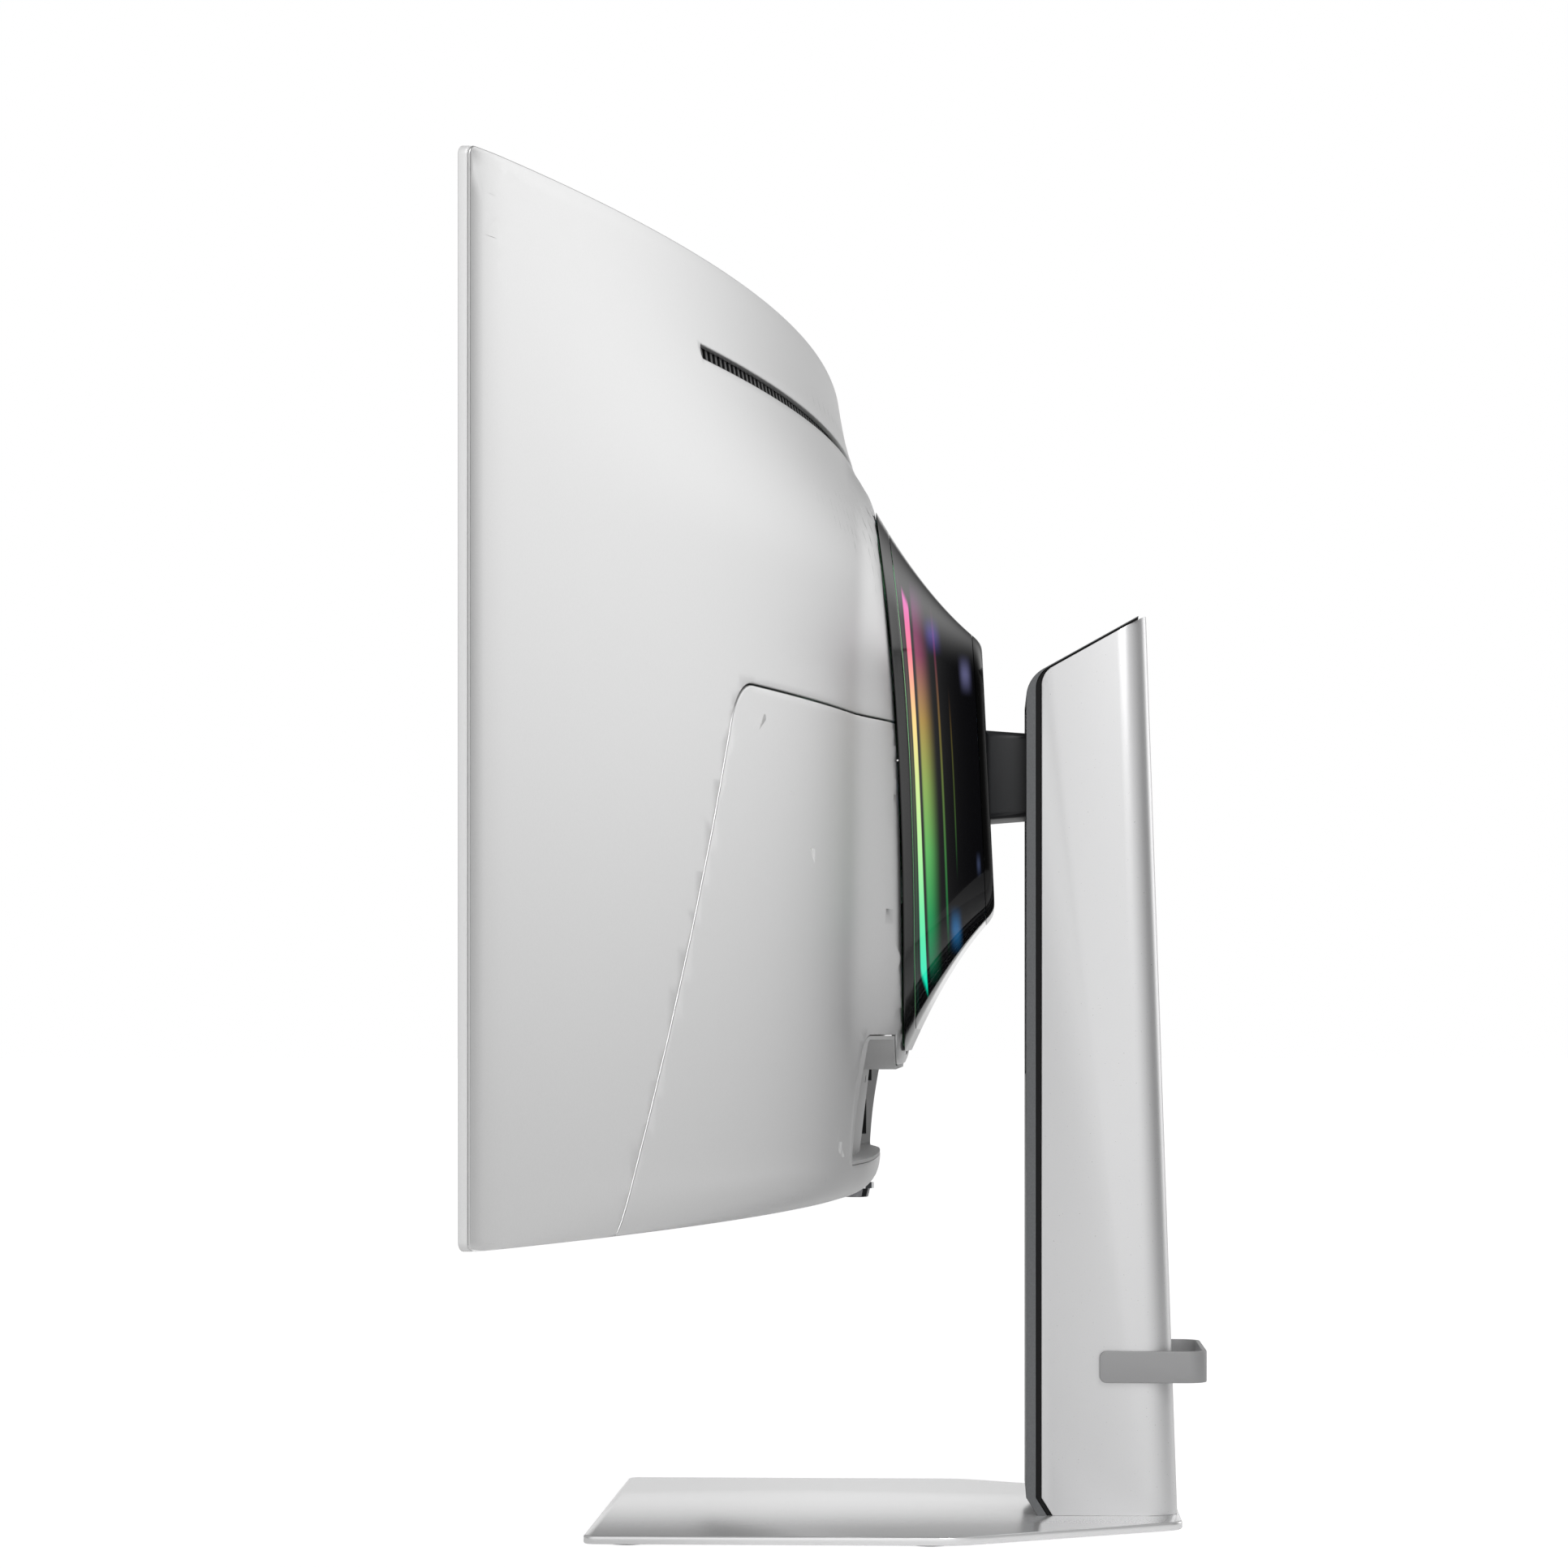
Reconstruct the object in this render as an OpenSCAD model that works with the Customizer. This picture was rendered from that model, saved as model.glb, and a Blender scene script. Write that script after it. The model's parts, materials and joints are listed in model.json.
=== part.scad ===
// A wide curved monitor on a height-adjustable stand, with a glowing light unit around its hub.
// X runs along the screen, +Y points to the back, +Z is up. The origin is on the desk, under the
// middle of the whole object's box. Depths are measured back from the screen's two front ends.

/* [Screen] */
// Width of the head, from one end to the other
screen_w = 1194.7; // [1150:0.1:1230]
// Height of the head
screen_h = 365; // [355:1:380]
// Radius of the screen's curve
curve_r = 1800; // [1600:50:2000]
// Height of the head's lower edge above the desk
head_z = 150; // [145:1:155]
// Width of the frame's rails around the panel
rail_w = 6.8; // [5:0.1:10]
// Depth of the frame around the panel
rail_t = 3.2; // [3:0.1:3.2]
// Thickness of the display panel with its glass
panel_t = 1.4; // [1:0.1:1.4]
// Thickness of the steel sheet behind the panel
backplate_t = 1.1; // [0.8:0.1:1.1]
// Thickness of the chassis sheet that carries the hub
chassis_t = 1.2; // [1:0.1:1.5]

/* [Rear cover] */
// Depth of the head at its outer edge
edge_t = 5.1; // [5:0.1:6]
// How far the cover swells behind its edge, at the middle
bulge = 28; // [24:1:32]
// Height over which the cover rises to its full depth below the top edge
rise_h = 107; // [100:1:140]
// Wall of the cover
cover_wall = 2.2; // [1.8:0.1:2.6]
// Height of the rounded chin at the bottom
chin_h = 20; // [16:1:22]
// Height of the seam's level run above the head's lower edge
seam_h = 206; // [195:1:215]
// Half the width of the lower cover at its top
seam_top_x = 361.5; // [345:0.5:375]
// Half the width of the lower cover at its bottom
seam_foot_x = 479.7; // [460:0.1:490]
// How far the lower cover's sides bow inwards
seam_bow = 6.4; // [0:0.1:10]
// Radius of the lower cover's top corners
seam_r = 28; // [10:1:36]
// Gap between the two covers
seam_gap = 0.8; // [0.5:0.1:1.2]

/* [Vent] */
// Half the width of the vent slot
vent_x = 386; // [360:2:400]
// Height of the slot's upper edge below the head's top
vent_drop = 34; // [30:1:36]
// Height of the vent slot
vent_h = 5.1; // [4.7:0.1:7]
// Distance from one vent rib to the next
vent_pitch = 6.5; // [6:0.5:9]

/* [Light unit] */
// Width of the light unit where it meets the cover
unit_w = 264; // [250:2:270]
// Height of the light unit where it meets the cover
unit_h = 237.7; // [234:0.1:244]
// Height of the light unit's foot above the head's lower edge
unit_up = 64; // [62:1:66]
// Corner radius of the light unit where it meets the cover
unit_r = 43; // [36:1:50]
// Width of the light unit's flat back
back_w = 140; // [130:2:146]
// Height of the light unit's flat back
back_h = 120.5; // [119:0.5:122]
// How far the middle of the flat back is below the tilt axis
back_drop = 2.4; // [2:0.1:3]
// Corner radius of the flat back
back_r = 22; // [18:1:26]
// Depth of the flat back at its middle
back_y = 175.4; // [174:0.1:176]
// Lean of the flat back, its top forward
back_lean = 2.7; // [2:0.1:3.2]
// Wall of the glass, measured across the screen
glass_wall = 3.4; // [3:0.1:3.8]

/* [Tilt hinge] */
// Depth of the tilt axis
tilt_y = 160; // [158:1:162]
// Radius of the hinge pin's bores
pin_bore_r = 5; // [4.5:0.1:5.5]
// Running clearance around the pin
pin_fit = 0.05; // [0.02:0.01:0.1]
// Radius of the hinge barrel
barrel_r = 13; // [12:0.5:14]
// Half the width of the arm
arm_x = 25; // [22:1:26]
// Height of the arm at the hub
arm_h = 41; // [38:1:42]

/* [Fixing pattern] */
// Distance between the fixing holes on the hub
fixing_pitch = 100; // [100:1:100]
// Radius of the fixing holes
fixing_r = 2; // [1.9:0.05:2.1]

/* [Neck] */
// Width of the neck
neck_w = 80; // [76:1:84]
// Depth of the neck cover's front edge
neck_y = 199.4; // [199:0.1:201]
// Depth of the neck's back at the base
neck_back_y = 261; // [259:1:263]
// Forward lean of the neck's back
neck_lean = 2; // [1.6:0.1:2.2]
// Rise of the sloping top
top_slope = 29; // [26:1:31]
// Height of the sloping top above the cover's front edge
neck_top_z = 384.8; // [382:0.2:388]
// Radius of the neck's rear corners
neck_r = 14; // [10:1:16]
// Wall of the neck cover
neck_wall = 2; // [1.6:0.1:2.4]
// Radius of the guide rails
rail_r = 4; // [3.5:0.1:4.5]

/* [Base] */
// Thickness of the base plate
base_t = 3.8; // [3.4:0.1:4.4]
// Thickness of the rubber pads
pad_t = 1.2; // [1:0.1:1.5]
// Half the width of the base plate
base_x = 130; // [120:2:150]
// Half the width of the base plate's rear edge
base_rear_x = 62; // [56:1:70]
// Depth of the plate's rear edge
base_rear_y = 262; // [260:1:264]
// Depth at which the plate's sides turn in
base_turn_y = 163; // [150:1:175]

/* [Cable clip] */
// Height of the clip's lower edge
clip_z = 65; // [50:1:100]
// Height of the clip
clip_h = 14.3; // [12:0.1:18]
// Depth of the clip's front ends
clip_y = 225.4; // [222:0.2:230]
// Depth of the clip's back
clip_back_y = 274; // [274:1:274]
// Thickness of the clip
clip_t = 2; // [1.6:0.1:2.4]

/* [Hidden] */
$fn = 96;
wide_fn = 256;                  // facets of the arcs with a large radius

gap = 0.3;                      // clearance between neighbours
half_w = screen_w / 2;
top_z = head_z + screen_h;
sag = curve_r - sqrt(curve_r * curve_r - half_w * half_w);
screen_y = -clip_back_y / 2;    // the screen's front ends in the shared frame
axis_y = sag - curve_r;         // the axis that the screen curves about
base_top = pad_t + base_t;

// ---- The head's curved surfaces ----

// Depth of the screen's front at x
function front_y(x) = axis_y + sqrt(curve_r * curve_r - x * x);
// Share of the bulge at x: all of it in the middle, none at the ends
function spread(x) = pow(cos(90 * min(1, abs(x) / half_w)), 2);
// Share of the bulge at a distance below the top edge
belly_h = 170;
belly_fall = 0.3;
belly_mid = 0.18;               // how much more it falls at the middle
belly_power = 8;
function rise(x, below) = below < rise_h ? pow(sin(90 * below / rise_h), 2)
    : below < belly_h ? 1
    : 1 - (belly_fall + belly_mid * pow(spread(x), belly_power))
        * pow((below - belly_h) / (screen_h - belly_h), 2);
// The edge is thinner at the middle of the top
edge_thin = 1;
edge_thin_h = 10.7;
edge_thin_power = 4.6;
function plain_y(x, z) = front_y(x) + edge_t + bulge * spread(x) * rise(x, top_z - z)
    - edge_thin * pow(spread(x), edge_thin_power) * clamp(1 - (top_z - z) / edge_thin_h);

unit_z = head_z + unit_up + unit_h / 2;     // middle of the light unit's foot
hub_z = head_z + 189.6;                     // height of the tilt axis and of the mounting holes
rim_low_y = 138.8;                          // depth of the unit's rim at its bottom
rim_drop = 12.8;                            // how much less deep the rim is at its top
rim_power = 2.83;
collar_w = 60;                              // width of the cover's rise beside the unit
collar_top_w = 21;                          // the same above the unit
collar_power = 2;                           // how the rise beside the unit fades
collar_top_power = 1.35;                    // the same above the unit
rim_step = 0.8;                             // how far the cover's rim stays in front of the unit's

// How far a point is outside the unit's foot, seen from behind
function rim_gap(x, z) =
    let (ax = abs(x) - unit_w / 2 + unit_r, az = abs(z - unit_z) - unit_h / 2 + unit_r)
    (ax > 0 && az > 0 ? norm([ax, az]) : max(ax, az)) - unit_r;
function clamp(v) = max(0, min(1, v));
function rim_y(z) = rim_low_y
    - rim_drop * pow(clamp((z - unit_z + unit_h / 2) / unit_h), rim_power);
function mix(a, b, k) = a + (b - a) * k;
function cover_y(x, z) =
    let (plain = plain_y(x, z), up = pow(clamp((z - unit_z) / (unit_h / 2)), 2),
         near = clamp(1 - max(0, rim_gap(x, z)) / mix(collar_w, collar_top_w, up)),
         under = rim_y(z) - rim_step)
    rim_gap(x, z) < 0 ? under
        : plain + max(0, under - plain) * pow(near, mix(collar_power, collar_top_power, up));

cover_cols = 56;
cover_rows = 20;
chin_rows = 5;
chin_power = 2 / 3;
chin_z = head_z + chin_h;
edge_wall = 1.6;                            // wall of the cover at its outer edge
// One point of the cover's skin; inset moves it into the wall
function skin(x, j, inset) = j < chin_rows
    ? let (a = 90 - 90 * j / chin_rows, front = front_y(x) + edge_t - min(inset, edge_wall),
           back = cover_y(x, chin_z) - inset)
        [x, front + (max(back, front) - front) * pow(cos(a), chin_power),
         chin_z - (chin_h - inset) * pow(sin(a), chin_power)]
    : let (z = chin_z + (top_z - inset - chin_z) * (j - chin_rows) / cover_rows)
        [x, inset == 0 ? cover_y(x, z) : max(cover_y(x, z) - inset, front_y(x) + edge_t - edge_wall), z];

module cover_shell() {
    n = chin_rows + cover_rows + 1;
    m = cover_cols + 1;
    xs = [for (i = [0:cover_cols]) -half_w + screen_w * i / cover_cols];
    outer = [for (x = xs) for (j = [0:n - 1]) skin(x, j, 0)];
    inner = [for (x = xs) for (j = [0:n - 1]) skin(x * (1 - cover_wall / half_w), j, cover_wall)];
    off = m * n;
    function at(i, j) = i * n + j;
    skins = [for (i = [0:m - 2]) for (j = [0:n - 2])
        each [[at(i, j), at(i + 1, j), at(i + 1, j + 1)], [at(i, j), at(i + 1, j + 1), at(i, j + 1)]]];
    backs = [for (f = skins) [f[0] + off, f[2] + off, f[1] + off]];
    rim = concat([for (i = [0:m - 2]) at(i, 0)], [for (j = [0:n - 2]) at(m - 1, j)],
        [for (i = [m - 1:-1:1]) at(i, n - 1)], [for (j = [n - 1:-1:1]) at(0, j)]);
    edges = [for (k = [0:len(rim) - 1]) let (a = rim[k], b = rim[(k + 1) % len(rim)])
        each [[a, a + off, b + off], [a, b + off, b]]];
    polyhedron(points = concat(outer, inner), faces = concat(skins, backs, edges), convexity = 6);
}

// ---- Helpers ----

// The whole object is drawn with depths counted from the screen's ends
module placed() translate([0, screen_y, 0]) children();

// A flat outline in X and Z, thickened forward from a depth
module upright(y, t) translate([0, y, 0]) rotate([90, 0, 0]) linear_extrude(t) children();

// A side outline in Y and Z, thickened across the middle plane
module across(w) translate([-w / 2, 0, 0]) rotate([90, 0, 90]) linear_extrude(w) children();

module rounded(w, h, r) {
    square([w - 2 * r, h], center = true);
    square([w, h - 2 * r], center = true);
    for (x = [-1, 1], y = [-1, 1])
        translate([x * (w / 2 - r), y * (h / 2 - r)]) circle(r);
}

module box(x0, x1, y0, y1, z0, z1) translate([x0, y0, z0]) cube([x1 - x0, y1 - y0, z1 - z0]);

module bar_y(x, z, r, y0, y1) translate([x, y0, z]) rotate([-90, 0, 0]) cylinder(h = y1 - y0, r = r);

module bar_x(y, z, r, w) translate([0, y, z]) rotate([0, 90, 0]) cylinder(h = w, r = r, center = true);

// A sheet that follows the screen's curve, from one depth behind its front to another
module curved_sheet(t0, t1, z0, z1, w, r = curve_r) {
    y = r == curve_r ? axis_y : sag - r;
    spare = 2;
    a = asin(w / 2 / r) + spare;
    intersection() {
        translate([0, y, z0]) rotate([0, 0, 90 - a])
            rotate_extrude(angle = 2 * a, $fn = wide_fn) translate([r + t0, 0]) square([t1 - t0, z1 - z0]);
        box(-w / 2, w / 2, -half_w, half_w, z0 - 1, z1 + 1);
    }
}

// ---- Screen ----

// A sheet of the panel's size, which fits inside the frame's rails
module panel_sheet(t0, t1) curved_sheet(t0, t1, head_z + rail_w + 0.1, top_z - rail_w - 0.1,
    screen_w - 2 * rail_w - 0.2);

module screen_panel() color("#101114") placed() panel_sheet(0.5, 0.5 + panel_t);

module bezel_frame() color("#d9dadb") placed() difference() {
    curved_sheet(0, rail_t, head_z, top_z, screen_w);
    box(-half_w + rail_w, half_w - rail_w, -half_w, half_w, head_z + rail_w, top_z - rail_w);
}

module panel_backplate() color("#8d9093") placed() panel_sheet(2, 2 + backplate_t);

chassis_w = 660;
chassis_z0 = head_z + 24;
chassis_z1 = top_z - 50;
chassis_y = 3.6;                // depth of the chassis behind the screen's front
screw_spots = [for (side = [-1, 1]) each [[side * 300, head_z + 40], [side * 300, head_z + 260],
    [side * 190, head_z + 28], [side * 210, head_z + 300]]];

module chassis_plate() color("#a3a6a8") placed() difference() {
    curved_sheet(chassis_y, chassis_y + chassis_t, chassis_z0, chassis_z1, chassis_w);
    for (s = screw_spots) bar_y(s[0], s[1], 1.7, 0, 130);
}

// ---- Covers ----

module unit_foot(grow) translate([0, unit_z]) rounded(unit_w + 2 * grow, unit_h + 2 * grow, unit_r + grow);

// The lower cover's outline, seen from behind
seam_tilt = atan((seam_foot_x - seam_top_x - 4 * seam_bow) / seam_h);
seam_c = [seam_top_x - seam_r * tan(45 - seam_tilt / 2), head_z + seam_h - seam_r];
seam_steps = 10;
function seam_x(z) = let (t = (head_z + seam_h - z) / seam_h)
    mix(seam_top_x, seam_foot_x, t) - 4 * seam_bow * t * (1 - t);
module seam_outline(grow) {
    low = head_z - 2;
    high = seam_c[1] + seam_r * sin(seam_tilt);
    half = concat(
        [for (i = [0:seam_steps]) seam_c + (seam_r + grow)
            * [cos(mix(90, seam_tilt, i / seam_steps)), sin(mix(90, seam_tilt, i / seam_steps))]],
        [for (i = [1:seam_steps]) let (z = mix(high, low, i / seam_steps)) [seam_x(z) + grow, z]]);
    polygon(concat(half, [for (i = [len(half) - 1:-1:0]) [-half[i][0], half[i][1]]]));
}

boss_r = 4;
// A screw boss that grows out of the cover's wall, with a foot that spreads onto it
module boss(s) {
    y0 = front_y(abs(s[0]) - boss_r) + chassis_y + chassis_t + 0.1;
    y1 = cover_y(s[0], s[1]) - cover_wall / 2;
    difference() {
        hull() {
            bar_y(s[0], s[1], boss_r, y0, y1, $fn = 20);
            bar_y(s[0], s[1], boss_r + 1.5, y1 - 0.5, y1, $fn = 20);
        }
        bar_y(s[0], s[1], 1.5, y0 - 1, y0 + 7, $fn = 20);
    }
}

module upper_bosses() for (s = screw_spots) if (s[1] > head_z + seam_h) boss(s);
module lower_bosses() for (s = screw_spots) if (s[1] < head_z + seam_h) boss(s);

// Clips along the top edge that hold the cover to the frame
clip_x = [-540, -450, -250, -150, 150, 250, 450, 540];
module edge_clips(z, side) for (x = clip_x)
    translate([x, front_y(x) + rail_t + 0.95, z]) rotate([0, 0, -asin(x / curve_r)]) hull() {
        cube([12, 1.1, 3], center = true);
        translate([0, 0, side * 2.5]) cube([6, 1.1, 3], center = true);
    }

vent_z1 = top_z - vent_drop;
module vent_cut() upright(200, 200) translate([0, vent_z1 - vent_h / 2])
    rounded(2 * vent_x, vent_h, 1.8, $fn = 24);

module rear_cover() color("#d4d5d6") placed() union() {
    difference() {
        cover_shell();
        upright(200, 250) seam_outline(seam_gap);
        upright(200, 200) unit_foot(-4);
        vent_cut();
    }
    upper_bosses();
    edge_clips(top_z - 4, -1);
}

bay_w = 320;                    // the port bay, under the light unit
bay_z0 = head_z + 15;
bay_z1 = head_z + 71.5;
bay_corner = 8;
collar_h = 5.7;                 // height of the cover's collar under the light unit
module bay_outline(inset) difference() {
    translate([0, (bay_z0 + bay_z1) / 2])
        rounded(bay_w - 2 * inset, bay_z1 - bay_z0 - 2 * inset, bay_corner - inset);
    unit_foot(collar_h + inset);
}

jog_y = 114.5;
jog_hole_r = 8.7;
module lower_rear_cover() color("#d0d1d2") placed() union() {
    difference() {
        intersection() {
            cover_shell();
            upright(200, 250) seam_outline(0);
        }
        upright(200, 200) unit_foot(-4);
        upright(200, 90) bay_outline(0);
        translate([0, jog_y, head_z - 5]) cylinder(h = chin_h, r = jog_hole_r, $fn = 40);
    }
    lower_bosses();
    intersection() {
        edge_clips(head_z + 3, 1);
        box(-seam_top_x, seam_top_x, 0, 200, head_z, top_z);
    }
}

module cover_screws() color("#55585b") placed() for (s = screw_spots) {
    y = front_y(s[0]) + chassis_y + chassis_t;
    bar_y(s[0], s[1], 1.45, y - 0.9, y + 6);
}

grille_r = 1582;                // radius of the vent grille, which sits in the slot of the cover
grille_y = 112.9;
grille_t = 1.2;
grille_h = vent_h - 0.1;
grille_edge = 0.5;
module vent_grille() color("#1b1c1e") placed() difference() {
    w = 2 * (vent_x - 3);
    a = asin(w / 2 / grille_r);
    z = vent_z1 - vent_h / 2;
    translate([0, grille_y - grille_r, z - grille_h / 2]) rotate([0, 0, 90 - a])
        rotate_extrude(angle = 2 * a, $fn = wide_fn)
            translate([grille_r - grille_t, 0]) square([grille_t, grille_h]);
    count = floor((w - 8) / vent_pitch / 2);
    slot_h = grille_h - 2 * grille_edge;
    for (i = [-count:count]) translate([0, grille_y - grille_r, z])
        rotate([0, 0, i * vent_pitch / grille_r * 180 / PI])
            translate([-vent_pitch / 4, grille_r - 4, -slot_h / 2]) cube([vent_pitch / 2, 8, slot_h]);
}

// ---- Port bay and electronics ----

bay_floor_y = 118.5;            // depth of the bay's floor at the middle
bay_floor_r = 1500;
bay_floor_t = 2;
bay_lean = 6.6;                 // lean of the floor, its top to the back
bay_mouth_y = 124.9;            // depth of the bay's lower lip at the middle
bay_mouth_r = 1500;
bay_mouth_lean = 3.9;
bay_rim_y = 134.8;              // depth of the bay's wall under the light unit
bay_wall = 1.6;
bay_end_x = bay_w / 2 - gap;    // outer face of the bay's end walls
bay_end_t = 6;
port_z = head_z + 36;
function floor_y(x, z) = bay_floor_y - x * x / 2 / bay_floor_r + (z - head_z - 40) * tan(bay_lean);

// A sheet behind the bay that curves about an upright axis and leans, its top to the back
module leaning_sheet(y, r, t0, t1, lean) {
    a = asin(bay_w / 2 / r) + 1;
    z0 = bay_z0 - 1;
    z1 = bay_z1 + 1;
    translate([0, y - r, 0]) rotate([0, 0, 90 - a]) rotate_extrude(angle = 2 * a, $fn = wide_fn)
        polygon([for (p = [[t0, z0], [t1, z0], [t1, z1], [t0, z1]])
            [r + p[0] + (p[1] - bay_z0) * tan(lean), p[1]]]);
}

// The sockets on the floor face the back; those in the end walls face each other
floor_usb = [-60, -78];
// Side, height, length and outer depth of the sockets in the end walls
side_ports = [[-1, head_z + 31.4, 17.1, 115.4], [-1, head_z + 56.4, 14.5, 118],
    [1, head_z + 56.4, 14.5, 118]];
side_port_t = 4.4;
audio_spot = [113.6, head_z + 31.4];
audio_r = 2.5;
module port_holes(grow) {
    box(18 - grow, 27 + grow, 100, 130, port_z + 14 - grow, port_z + 17.2 + grow);
    for (x = floor_usb) translate([x, 0, port_z])
        box(-6.8 - grow, 6.8 + grow, 100, 130, -3.4 - grow, 3.4 + grow);
    bar_y(-98, port_z, 5 + grow, 100, 130);
    for (p = side_ports) translate([p[0] * (bay_end_x - bay_end_t / 2), 0, p[1]])
        box(-bay_end_t / 2 - 1, bay_end_t / 2 + 1, p[3] - side_port_t - grow, p[3] + grow,
            -p[2] / 2 - grow, p[2] / 2 + grow);
    translate([bay_end_x - bay_end_t / 2, 0, 0])
        bar_x(audio_spot[0], audio_spot[1], audio_r + grow, bay_end_t + 2);
}

module port_bay() color("#b9bbbd") placed() difference() {
    union() {
        intersection() {
            leaning_sheet(floor_y(0, bay_z0), bay_floor_r, -bay_floor_t, 0, bay_lean);
            upright(200, 100) bay_outline(gap);
        }
        intersection() {
            upright(200, 100) difference() {
                bay_outline(gap);
                intersection() {
                    bay_outline(gap + bay_wall);
                    square([2 * (bay_end_x - bay_end_t), 2 * top_z], center = true);
                }
            }
            leaning_sheet(bay_mouth_y, bay_mouth_r, -40, 0, bay_mouth_lean);
            leaning_sheet(floor_y(0, bay_z0), bay_floor_r, -bay_floor_t / 2, 40, bay_lean);
        }
        upright(bay_rim_y, 18) intersection() {
            difference() {
                unit_foot(collar_h + gap + bay_wall);
                unit_foot(collar_h + gap);
            }
            bay_outline(gap);
        }
    }
    port_holes(0.15);
}

board_y = 107.2;
board_t = 1.6;
side_board_x = 168;
module main_board() color("#1f5a3c") placed() {
    y1 = board_y + board_t;
    box(-112, 112, board_y, y1, head_z + 16, head_z + 58);
    // The processor and two other large parts on the board's rear
    for (x = [-30, 0, 70]) box(x - 9, x + 9, y1, y1 + 1.2, head_z + 30, head_z + 48);
    // The small boards that carry the sockets in the bay's end walls
    for (side = [-1, 1]) box(side * side_board_x - 7.6, side * side_board_x + 7.6,
        board_y, board_y + board_t, head_z + 20, head_z + 60);
}

// A socket's shell on the board, open at the back, with its contact tongue
module slot_socket(x, z, w, h, wall) {
    y0 = board_y + board_t;
    y1 = floor_y(abs(x) + w / 2, z - h / 2) - 0.3;
    difference() {
        box(x - w / 2, x + w / 2, y0, y1, z - h / 2, z + h / 2);
        box(x - w / 2 + wall, x + w / 2 - wall, y0 + 1.5, y1 + 1, z - h / 2 + wall, z + h / 2 - wall);
    }
}

// A socket in an end wall, open towards the bay's middle, with its tongue
module side_socket(p)
    translate([p[0] * (bay_end_x - bay_end_t + 0.4), 0, p[1]]) mirror([p[0] < 0 ? 1 : 0, 0, 0]) {
        wall = 0.4;
        h = p[2] / 2;
        y0 = p[3] - side_port_t;
        difference() {
            union() {
                box(0, bay_end_t, y0, p[3], -h, h);
                box(bay_end_t - 0.1, bay_end_t + 6, board_y + board_t, p[3] - 2, -h, h);
            }
            box(-1, bay_end_t - 0.6, y0 + wall, p[3] - wall, wall - h, h - wall);
        }
        box(0.8, bay_end_t - 0.5, y0 + 1.6, y0 + 2.3, 2 - h, h - 2);
    }

module displayport_socket() color("#2a2b2d") placed() side_socket(side_ports[0]);

module hdmi_sockets() color("#2c2d30") placed() for (i = [1, 2]) side_socket(side_ports[i]);

module usb_sockets() color("#303236") placed() {
    slot_socket(22.5, port_z + 15.6, 9, 3.2, 0.35);
    for (x = floor_usb) {
        slot_socket(x, port_z, 13.6, 6.8, 0.5);
        box(x - 5.5, x + 5.5, board_y + board_t + 1.5, floor_y(x, port_z) - 4, port_z - 0.2, port_z + 1.8);
    }
}

module audio_socket() color("#26272a") placed()
    translate([bay_end_x - bay_end_t + 0.4, 0, audio_spot[1]]) difference() {
        union() {
            translate([bay_end_t / 2, 0, 0]) bar_x(audio_spot[0], 0, audio_r, bay_end_t);
            box(bay_end_t - 0.1, bay_end_t + 6, board_y + board_t, audio_spot[0], -4, 4);
        }
        translate([1.5, 0, 0]) bar_x(audio_spot[0], 0, 1.7, bay_end_t);
    }

module dc_inlet() color("#26272a") placed() {
    y1 = floor_y(98, port_z - 5) - 0.4;
    difference() {
        bar_y(-98, port_z, 5, board_y + board_t, y1);
        bar_y(-98, port_z, 3.8, board_y + board_t + 1.5, y1 + 1);
    }
    bar_y(-98, port_z, 0.8, board_y + board_t + 1.5, y1 - 0.6);
}

module panel_driver_board() color("#23563d") placed()
    box(-70, 70, 107.3, 108.9, top_z - 116, top_z - 68);

module speaker(side) {
    x = side * 230;
    y = front_y(210) + chassis_y + chassis_t + 0.4;
    difference() {
        box(x - 32, x + 32, y - 4, y + 4.4, head_z + 58, head_z + 86);
        bar_y(x, head_z + 72, 11, y + 3.2, y + 6);
        translate([0, axis_y, 0])
            cylinder(h = top_z, r = curve_r + chassis_y + chassis_t + gap, $fn = wide_fn);
    }
    translate([x, y + 3.2, head_z + 72]) rotate([-90, 0, 0]) cylinder(h = 1.4, r1 = 9, r2 = 5);
}

module speaker_left() color("#232426") placed() speaker(-1);
module speaker_right() color("#232426") placed() speaker(1);

// ---- Jog control under the chin ----

jog_bore_r = 7.9;
jog_pivot_z = head_z + 8;
module jog_bezel() color("#c9cccf") placed() translate([0, jog_y, head_z + 1.2]) difference() {
    cylinder(h = 2.6, r = jog_hole_r - 0.2);
    translate([0, 0, -1]) cylinder(h = 8, r = jog_bore_r);
}

jog_board_z = jog_pivot_z + 2.8;
gimbal_r = 7;
gimbal_hole_r = 5;
gimbal_pin_r = 0.9;
stem_pin_r = 0.75;
// The switch's board, with the two posts that carry the gimbal's pins
module jog_board() color("#24583e") placed() difference() {
    union() {
        box(-12, 12, jog_y - 8, jog_y + 6, jog_board_z, jog_board_z + 1.4);
        for (side = [-1, 1])
            box(side * 9.4 - 1, side * 9.4 + 1, jog_y - 2, jog_y + 2, jog_pivot_z - 1.8, jog_board_z);
    }
    bar_x(jog_y, jog_pivot_z, gimbal_pin_r + 0.05, 40);
}

module jog_gimbal() color("#3a3c3f") placed() translate([0, jog_y, jog_pivot_z]) difference() {
    union() {
        cylinder(h = 2.6, r = gimbal_r, center = true);
        rotate([0, 90, 0]) cylinder(h = 20.2, r = gimbal_pin_r, center = true);
    }
    cylinder(h = 8, r = gimbal_hole_r, center = true);
    rotate([90, 0, 0]) cylinder(h = 30, r = stem_pin_r + 0.05, center = true);
}

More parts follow.
